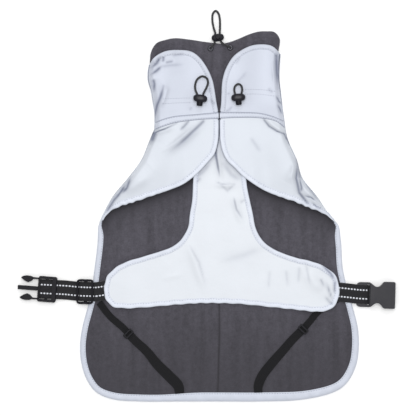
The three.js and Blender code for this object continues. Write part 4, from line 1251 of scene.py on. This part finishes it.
class RAINCOAT_OT_back(bpy.types.Operator):
    """The back panel: its silver shell underneath, its two fleece halves and the hem's tape"""

    bl_idname = "raincoat.back"
    bl_label = "Back panel"

    def execute(self, context):
        outline = curve(FRONT_SIDE["left"] + FLANK["left"] + HEM[1:-1] + FLANK["right"][::-1]
                        + FRONT_SIDE["right"][::-1])
        left, right, bottom = edges_inside(outline, LINER_INSET, (HEM[0], HEM[-1]))
        top = seam_line(NECK_LOWER, 0)(left(0.0)[0], right(0.0)[0])
        edges = left, right, top, bottom
        grid = fill_between(*edges, np.linspace(0, 1, 120), np.linspace(0, 1, 150))
        slack = SHELL_SAG * np.sin(grid[..., 0] / 17) * np.sin(grid[..., 1] / 23 + 1)
        wall = wall_over(grid, SHELL - SHELL_SAG + slack, 0 * slack)
        shell = add_piece(build_mesh("back_shell_cloth", *wall), "silver_cloth_chest",
                          "reflective_cloth", "back_shell")
        halves = (0.0, 0.5), (0.5, 1.0)
        linings = [lining_half(hand, edges, *half) for hand, half in zip(HANDS, halves)]
        outline_of(left, bottom, right, top)
        hem_tape(outline)
        for lining, half in zip(linings, halves):
            cut = outline_of(line_down(edges, half[0]), between(bottom, *half),
                             line_down(edges, half[1]), between(top, *half))
        return {"FINISHED"}


class RAINCOAT_OT_collar_back(bpy.types.Operator):
    """The collar's back half, fleece side up, with its turned top edge"""

    bl_idname = "raincoat.collar_back"
    bl_label = "Collar back"

    def execute(self, context):
        left = offset(curve(COLLAR_SIDE["left"]), LINER_INSET)
        right = offset(curve(COLLAR_SIDE["right"]), -LINER_INSET)
        top = curve(COLLAR_TOP)
        bottom = seam_line(NECK_LOWER, GAP)(left(1.0)[0], right(1.0)[0])
        grid = fill_between(left, right, top, bottom, np.linspace(0, 1, 150),
                            np.linspace(0, 1, 100) ** 1.4)
        rim = outline_of(left, bottom, right, top)
        x, y = grid[..., 0], grid[..., 1]
        away = distance_to(top(np.linspace(0, 1, 200)), x, y)[0]
        wall = wall_over(grid, SHELL - 0.6 * (1 - roll(away, 1.5)), 0 * x)
        shell = add_piece(build_mesh("collar_back_cloth", *wall), "silver_cloth_collar",
                          "reflective_cloth", "collar_back_shell")
        # The fleece is turned in along the top edge and sewn down in a shallow groove.
        turned_in = 0.35 * roll(away, 1.8) * (1 - smooth(6.5, 10, away))
        groove = -0.12 * bell(away - 9.8, 1.4)
        least = ON_SHELL + 0.5
        height = least + (FLEECE - 0.5) * roll(away, 1.8) + turned_in + groove \
            + creases(BACK_COLLAR_CREASES, x, y)[0]
        wall = wall_over(grid, np.maximum(height, least), np.full_like(x, ON_SHELL))
        fleece = add_piece(build_mesh("collar_back_fleece", *wall), "brushed_fleece", "fleece",
                           "collar_back_lining")
        return {"FINISHED"}


class RAINCOAT_OT_fronts(bpy.types.Operator):
    """The two fronts folded in over the lining, with their edge tapes and topstitching"""

    bl_idname = "raincoat.fronts"
    bl_label = "Fronts"

    def execute(self, context):
        for hand in HANDS:
            fold = curve(FRONT_SIDE[hand])
            inner = offset(fold, INWARD[hand] * FOLD_INSET)
            edge = curve(FRONT_EDGE[hand])
            free = offset(edge, -INWARD[hand] * TAPE_WRAP)
            top = seam_line(NECK_LOWER, -TAPE_LIFT)(inner(0.0)[0], free(0.0)[0])
            bottom = straight(inner(1.0), free(1.0))
            panel = {"fold": fold, "free": free, "top": top, "bottom": bottom}
            piece = folded_panel(f"front_{hand}_cloth", hand, panel, "silver_cloth_fronts",
                                 "reflective_cloth", f"front_{hand}", 130, 130)
            long_edge = between(edge, 0.008, 0.992)

            def wavy(share):
                """The edge with the small ripples that the sewing leaves towards the tip."""
                ripple = 0.5 * np.sin(115 * share + 1.2 * np.sin(31 * share)) \
                    * smooth(0.55, 0.75, share) * (1 - smooth(0.9, 1, share))
                return long_edge(share) + left_of(long_edge, share) * ripple[..., None]

            tape, line = sewn_tape(f"front_{hand}_tape", wavy, -INWARD[hand], front_upper, 420,
                                   f"front_binding_{hand}", FRONT_CREASES,
                                   widen=lambda share: 1 - 0.62 * smooth(0.88, 1, share))
            sewn = sew(f"front_{hand}_stitches", [line])
            outline_of(fold, bottom, free, top)
        return {"FINISHED"}


class RAINCOAT_OT_collar_fronts(bpy.types.Operator):
    """The two collar fronts with their rounded tops, edge tapes and drawcord tunnels"""

    bl_idname = "raincoat.collar_fronts"
    bl_label = "Collar fronts"

    def execute(self, context):
        for hand in HANDS:
            fold = curve(COLLAR_SIDE[hand])
            edge = curve(COLLAR_FRONT_TOP[hand] + COLLAR_FRONT_INNER[hand][1:])
            rim = offset(edge, -INWARD[hand] * TAPE_WRAP)
            mitre = left_of(fold, 0.0)[[1, 0]] * (1, -1) - left_of(edge, 0.0)[:2] * INWARD[hand]
            turn = share_at(edge, COLLAR_FRONT_INNER[hand][0])
            inner = offset(fold, INWARD[hand] * FOLD_INSET)
            free, top = between(rim, turn, 1), between(rim, 0, turn)
            bottom = seam_line(NECK_UPPER, GAP)(inner(1.0)[0], rim(1.0)[0])
            panel = {"fold": fold, "free": free, "top": top, "bottom": bottom}
            piece = folded_panel(f"collar_{hand}_cloth", hand, panel, "silver_cloth_collar",
                                 "reflective_cloth", f"collar_front_{hand}", 100, 110)
            tape, line = sewn_tape(f"collar_{hand}_tape", between(edge, 0.0, 0.985),
                                   -INWARD[hand], front_upper, 250, f"collar_binding_{hand}",
                                   COLLAR_CREASES, mitre, finish="silver_binding_tape")
            tunnel = [seam_points(curve(rows), lambda x, y: front_upper(x, y) + 0.05)
                      for rows in TUNNEL_STITCHES[hand]]
            sewn = sew(f"collar_{hand}_stitches", [line, *tunnel])
            outline_of(fold, bottom, free, top)
        return {"FINISHED"}


class RAINCOAT_OT_neck_bands(bpy.types.Operator):
    """The band over the neck seam, in two halves that meet in the middle, sewn along both edges"""

    bl_idname = "raincoat.neck_bands"
    bl_label = "Neck bands"

    def execute(self, context):
        for hand, upper_row, lower_row in (("left", NECK_UPPER[0], NECK_LOWER[0]),
                                           ("right", NECK_UPPER[-1], NECK_LOWER[-1])):
            fold = straight(np.array([*upper_row, 0.0]), np.array([*lower_row, 0.0]))
            inner = offset(fold, INWARD[hand] * FOLD_INSET)
            middle = FRONT_EDGE[hand][0][0]
            top = seam_line(NECK_UPPER, OVERLAP)(inner(0.0)[0], middle)
            bottom = seam_line(NECK_LOWER, -OVERLAP)(inner(1.0)[0], middle)
            panel = {"fold": fold, "free": straight(top(1.0), bottom(1.0)), "top": top,
                     "bottom": bottom}
            seams = [top(np.linspace(0, 1, 60)), bottom(np.linspace(0, 1, 60))]

            def to_seams(x, y):
                """The distances of points from the upper and the lower seam."""
                return [distance_to(seam, x, y)[0] for seam in seams]

            def proud(x, y):
                """The band stands proud of the fronts, with a groove along both of its seams."""
                away = np.minimum(*to_seams(x, y))
                return front_upper(x, y) + 0.05 + 0.7 * roll(away, 1.2) \
                    - 0.3 * bell(away - 1.5, 0.5)

            def shaded(x, y):
                """Painted shade along its edges, a little less along the upper one."""
                upper, lower = to_seams(x, y)
                return 0.95 * bell(upper, 0.75) + bell(lower, 0.75)

            folded_panel(f"neck_band_{hand}_tape", hand, panel, "silver_cloth_collar",
                         "binding_tape", f"neck_band_{hand}", 110, 36, proud, shaded, 1.0)
            lines = [seam_points(offset(seam, sign * 1.3), proud)
                     for seam, sign in ((top, -INWARD[hand]), (bottom, INWARD[hand]))]
            sew(f"neck_band_{hand}_stitches", lines)
        return {"FINISHED"}


class RAINCOAT_OT_chest(bpy.types.Operator):
    """The chest panel with its stem and belly band, its edge tape and topstitching"""

    bl_idname = "raincoat.chest"
    bl_label = "Chest panel"

    def execute(self, context):
        around = curve(CHEST_SIDE["left"] + CHEST_BOTTOM[1:-1] + CHEST_SIDE["right"][::-1])
        corners = CHEST_BOTTOM[0], CHEST_BOTTOM[-1]
        left, right, bottom = edges_inside(around, TAPE_WRAP, corners)
        top = straight(left(0.0), right(0.0))
        grid = fill_between(left, right, top, bottom, np.linspace(0, 1, 170),
                            np.linspace(0, 1, 200))
        x, y = grid[..., 0], grid[..., 1]
        height = chest_upper(x, y)
        wall = wall_over(grid, height, np.minimum(chest_lower(x, y), height - 0.5))
        # Painted shade in its creases and a painted shadow beside the fronts' edges.
        painted_shade = np.minimum(creases(CHEST_CREASES, x, y)[1] + 0.55 * near_fronts(x, y, 3.5), 1)
        piece = add_piece(build_mesh("chest_panel_cloth", *wall, wear=painted_shade),
                          "silver_cloth_chest", "reflective_cloth", "chest_panel")

        def wavy(share):
            """The edge with the small ripples that the sewing leaves in it."""
            share = np.clip(share, 0, 1)
            ripple = 0.35 * np.sin(300 * share + 2 * np.sin(40 * share)) \
                * smooth(0.2, 0.3, share) * (1 - smooth(0.7, 0.8, share))
            return around(share) + left_of(around, share) * ripple[..., None]

        tape, line = sewn_tape("chest_tape", wavy, 1, chest_upper, 620, "chest_binding",
                               CHEST_CREASES)
        sewn = sew("chest_stitches", [line])
        outline_of(left, bottom, right, top)
        return {"FINISHED"}


def strap_piece(name, path, width, thickness, relief_of, finish, slot, replaced, stations,
                base=0.0, widen=None):
    """A flat strap along a line: a rounded section, with ribs that run along its upper side."""
    half, shoulder = width / 2, thickness * 0.8
    places = np.linspace(-half + 0.5, half - 0.5, 41)
    crown = thickness + relief_of(places)
    section = ([(-half + 0.35, 0.0), (half - 0.35, 0.0), (half, thickness * 0.4),
                (half - 0.12, shoulder)] + list(zip(places[::-1], crown[::-1]))
               + [(-half + 0.12, shoulder), (-half, thickness * 0.4)])
    tube = ribbon(path, stations, section, lambda x, y: 0 * x + base, widen)
    return add_piece(build_mesh(name, *tube), finish, slot, replaced)


# How far the rows of dashes lie from the middle of the belly strap, and half a dash's width.
DASH_INSET = 5.6
DASH_HALF = 0.92


def dashes(name, path, first, last):
    """Reflective dashes woven along a strap: rounded pads at even steps on two lines, from and
    up to given lengths from the strap's ends."""
    share = np.linspace(0, 1, 1500)
    middle, side = path(share), left_of(path, share)
    run = run_along(middle)
    centre = np.arange(first, run[-1] - last, sizes().dash_pitch / MM)
    half = np.array([sizes().dash / MM / 2, DASH_HALF])
    corner = np.array([[-1, -0.6], [-0.75, -1], [0.75, -1], [1, -0.6], [1, 0.6], [0.75, 1],
                       [-0.75, 1], [-1, 0.6]])
    pads = []
    for sign in (-1, 1):
        for grow, up in ((1.0, -0.25), (1.0, 0.06), (0.82, 0.16)):
            flat = corner * half * grow
            along = centre[:, None] + flat[:, 0]
            across = (sign * DASH_INSET + flat[:, 1])[:, None]
            pads.append(points_at(middle, run, along) + points_at(side, run, along) * across
                        + (0, 0, WEBBING - 0.1) + (0, 0, up))
    pads = np.stack(pads).reshape(2, 3, len(centre), 8, 3).transpose(0, 2, 1, 3, 4)
    add_piece(scattered_mesh(name, pads.reshape(-1, 3, 8, 3)), "reflective_yarn", "webbing")


class RAINCOAT_OT_straps(bpy.types.Operator):
    """The two ends of the belly strap, with two rows of reflective dashes"""

    bl_idname = "raincoat.straps"
    bl_label = "Belly strap"

    def execute(self, context):
        def ribs(place):
            """Ten lanes across the webbing, a cosine with a wave each 2.5 mm, sunk where the
            dashes are woven in."""
            return 0.18 * np.cos(place * 2 * np.pi / 2.5) \
                - 0.25 * bell(np.abs(place) - DASH_INSET, 1.6, 4)

        for hand, rows, stations, first in (("left", LEFT_STRAP, 300, 4.0),
                                            ("right", RIGHT_STRAP, 160, 14.0)):
            path = curve(rows)
            strap_piece(f"webbing_{hand}_strap", path, WEBBING_WIDTH, WEBBING, ribs,
                        "polyester_webbing", "webbing", f"webbing_{hand}", stations)
            dashes(f"webbing_{hand}_dashes", path, first, 1.6)
        return {"FINISHED"}


class RAINCOAT_OT_elastics(bpy.types.Operator):
    """The two leg elastics that run across the lining to the hem"""

    bl_idname = "raincoat.elastics"
    bl_label = "Leg elastics"

    def execute(self, context):
        def ribs(place):
            """Fine lanes across the elastic: a cosine with a wave each 1.6 mm."""
            return 0.12 * np.cos(place * 2 * np.pi / 1.6)

        for hand, rows, spread in (("left", LEFT_ELASTIC, 0.32), ("right", RIGHT_ELASTIC, 0.2)):
            def widen(share):
                """Two layers lie side by side past the slider; the fold at the hem is narrow."""
                return (1 + 0.22 * smooth(0.34, 0.39, share) + spread * smooth(0.42, 0.86, share)
                        - 0.2 * smooth(0.92, 1, share))

            strap_piece(f"leg_elastic_{hand}_strap", curve(rows), ELASTIC_WIDTH, ELASTIC, ribs,
                        "braided_elastic", "elastic", f"leg_elastic_{hand}", 240, ON_LINING,
                        widen)
        return {"FINISHED"}


def cord_lock(name, centre, axes, turn, roundness):
    """The moulded body of a cord lock.

    A superellipsoid: x, y and z are the half axes times the products of cosines and sines of
    the longitude and latitude, each raised to its roundness, 1 for an ellipsoid and less for
    fuller shoulders: 0.8 round its girth, and the given one from end to end. A shallow waist
    runs round it, where the two mould halves meet.
    """
    longitude = np.linspace(0, 2 * np.pi, 48, endpoint=False)
    latitude = np.linspace(-np.pi / 2, np.pi / 2, 33)[1:-1, None]

    def power(value, exponent):
        """The power of a value's size, with its sign."""
        return np.sign(value) * np.abs(value) ** exponent

    level = power(np.cos(latitude), roundness)
    waist = 1 - 0.05 * bell(np.sin(latitude), 0.12)
    x = axes[0] * level * power(np.cos(longitude), 0.8) * waist
    y = axes[1] * level * power(np.sin(longitude), 0.8) * waist
    z = axes[2] * power(np.sin(latitude), roundness) + 0 * longitude
    points = np.stack([x * np.cos(turn) - y * np.sin(turn),
                       x * np.sin(turn) + y * np.cos(turn), z], -1) + centre
    return add_piece(build_mesh(f"cord_lock_{name}_body", *tube_mesh(points)),
                     "moulded_acetal", "moulded_plastic", f"cord_lock_{name}")


def eyelet(hand, x, y):
    """A rolled eyelet ring: its section, two thirds of a round lip over a flat foot, is turned
    about the upright line through its middle."""
    lip = np.array([(1.5, 0.0), (1.5, 0.75), (1.7, 1.15), (2.15, 1.35), (2.7, 1.25), (3.3, 0.9),
                    (3.8, 0.5), (3.9, 0.0)])
    turn = np.linspace(0, 2 * np.pi, 40, endpoint=False)[:, None]
    points = np.stack([x + lip[:, 0] * np.cos(turn), y + lip[:, 0] * np.sin(turn),
                       ON_LINING + lip[:, 1] + 0 * turn], -1)
    at = np.arange(points[..., 0].size).reshape(points.shape[:2])
    round_on, next_row = np.roll(at, -1, axis=0), np.roll(at, -1, axis=1)
    faces = np.stack([at, next_row, np.roll(next_row, -1, axis=0), round_on], -1)
    mesh = build_mesh(f"eyelet_{hand}_ring", points.reshape(-1, 3), [faces.reshape(-1, 4)])
    add_piece(mesh, "plated_brass", "eyelet_metal", f"eyelet_{hand}")


class RAINCOAT_OT_fittings(bpy.types.Operator):
    """The cord locks' moulded bodies, the eyelets, and the finishes of the other fittings"""

    bl_idname = "raincoat.fittings"
    bl_label = "Fittings"

    def execute(self, context):
        lift, half_axes = 5 + 2 * GAP, (9.3, 5.1, 5.0)
        for hand, place, turn in (("left", (-24.4, 152.6, on_collar(-24, 152) + lift), -0.12),
                                  ("right", (24.8, 153.8, on_collar(25, 153) + lift), 0.08)):
            cord_lock(hand, place, half_axes, turn, 0.75)
        cord_lock("top", (-1.7, 232.4, 5.6), (8.2, 4.9, 5.2), 0.14, 0.7)
        eyelet("left", -11.1, 218.6)
        eyelet("right", 14.4, 219.6)
        for name in ("strap_slider", "buckle_male", "buckle_female", "leg_slider_left",
                     "leg_slider_right", "plunger_left", "plunger_right", "plunger_top"):
            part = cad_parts[name]
            finish = "moulded_acetal" if name == "buckle_female" else "matt_moulded_acetal"
            part.data.materials.clear()
            part.data.materials.append(finish_named(finish))
        return {"FINISHED"}


class RAINCOAT_OT_stage(bpy.types.Operator):
    """A plain pale floor under soft studio light from above"""

    bl_idname = "raincoat.stage"
    bl_label = "Stage"

    def execute(self, context):
        scene = context.scene
        # Twelve metres square, and a hair lower than the coat so that the two don't flicker.
        reach, level = 6.0, -0.0002
        mesh = bpy.data.meshes.new("floor")
        mesh.from_pydata([(-reach, -reach, level), (reach, -reach, level),
                          (reach, reach, level), (-reach, reach, level)], [], [(0, 1, 2, 3)])
        floor = bpy.data.objects.new("floor", mesh)
        scene.collection.objects.link(floor)
        # Matt painted paper, with a faint unevenness that keeps it from looking drawn.
        finish, tree, shader = new_finish("painted_paper", colours().floor, 0.9)
        place = add_node(tree, "TexCoord")["Object"]
        tooth = add_node(tree, "TexNoise", {"Vector": place, "Scale": per_mm(40)})
        vary(tree, shader, colours().floor, tooth["Fac"], 0.995, 1.0)
        mesh.materials.append(finish)
        world = bpy.data.worlds.new("studio")
        world.use_nodes = True
        sky = world.node_tree.nodes["Background"].inputs
        sky["Color"].default_value = (1, 1, 1, 1)
        sky["Strength"].default_value = 0.66
        scene.world = world
        for name, place, size, power in (("softbox_above", (0.02, 0.35, 2.9), 1.2, 38),
                                         ("softbox_behind", (0.02, 1.6, 1.8), 0.9, 6)):
            data = bpy.data.lights.new(name, "AREA")
            data.shape, data.size, data.energy = "SQUARE", size, power
            lamp = bpy.data.objects.new(name, data)
            lamp.location = place
            way = -np.array(place)
            lamp.rotation_euler = (float(np.arctan2(np.hypot(way[0], way[1]), -way[2])), 0.0,
                                   float(np.arctan2(way[1], way[0]) - np.pi / 2))
            scene.collection.objects.link(lamp)
        scene.view_settings.view_transform = "Standard"
        return {"FINISHED"}


# ---------------------------------------------------------------- panel and registration

OPERATORS = (RAINCOAT_OT_camera, RAINCOAT_OT_drawcords, RAINCOAT_OT_back,
             RAINCOAT_OT_collar_back, RAINCOAT_OT_chest, RAINCOAT_OT_fronts,
             RAINCOAT_OT_neck_bands, RAINCOAT_OT_collar_fronts, RAINCOAT_OT_straps,
             RAINCOAT_OT_elastics, RAINCOAT_OT_fittings, RAINCOAT_OT_stage)


class RAINCOAT_PT_sidebar(bpy.types.Panel):
    """Lists the coat's pieces, its sizes and its colours"""

    bl_idname = "RAINCOAT_PT_sidebar"
    bl_label = "Raincoat"
    bl_space_type = "VIEW_3D"
    bl_region_type = "UI"
    bl_category = "Raincoat"

    def draw(self, context):
        for operator in OPERATORS:
            self.layout.operator(operator.bl_idname)
        for group in (context.scene.raincoat_sizes, context.scene.raincoat_colours):
            box = self.layout.box()
            for name in group.__annotations__:
                box.prop(group, name)


def register():
    for cls in (RaincoatColours, RaincoatSizes, *OPERATORS, RAINCOAT_PT_sidebar):
        bpy.utils.register_class(cls)
    bpy.types.Scene.raincoat_colours = PointerProperty(type=RaincoatColours)
    bpy.types.Scene.raincoat_sizes = PointerProperty(type=RaincoatSizes)


def unregister():
    del bpy.types.Scene.raincoat_sizes
    del bpy.types.Scene.raincoat_colours
    for cls in (RAINCOAT_PT_sidebar, *reversed(OPERATORS), RaincoatSizes, RaincoatColours):
        bpy.utils.unregister_class(cls)


def main():
    register()
    for operator in OPERATORS:
        group, name = operator.bl_idname.split(".")
        getattr(getattr(bpy.ops, group), name)()


if __name__ == "__main__":
    main()
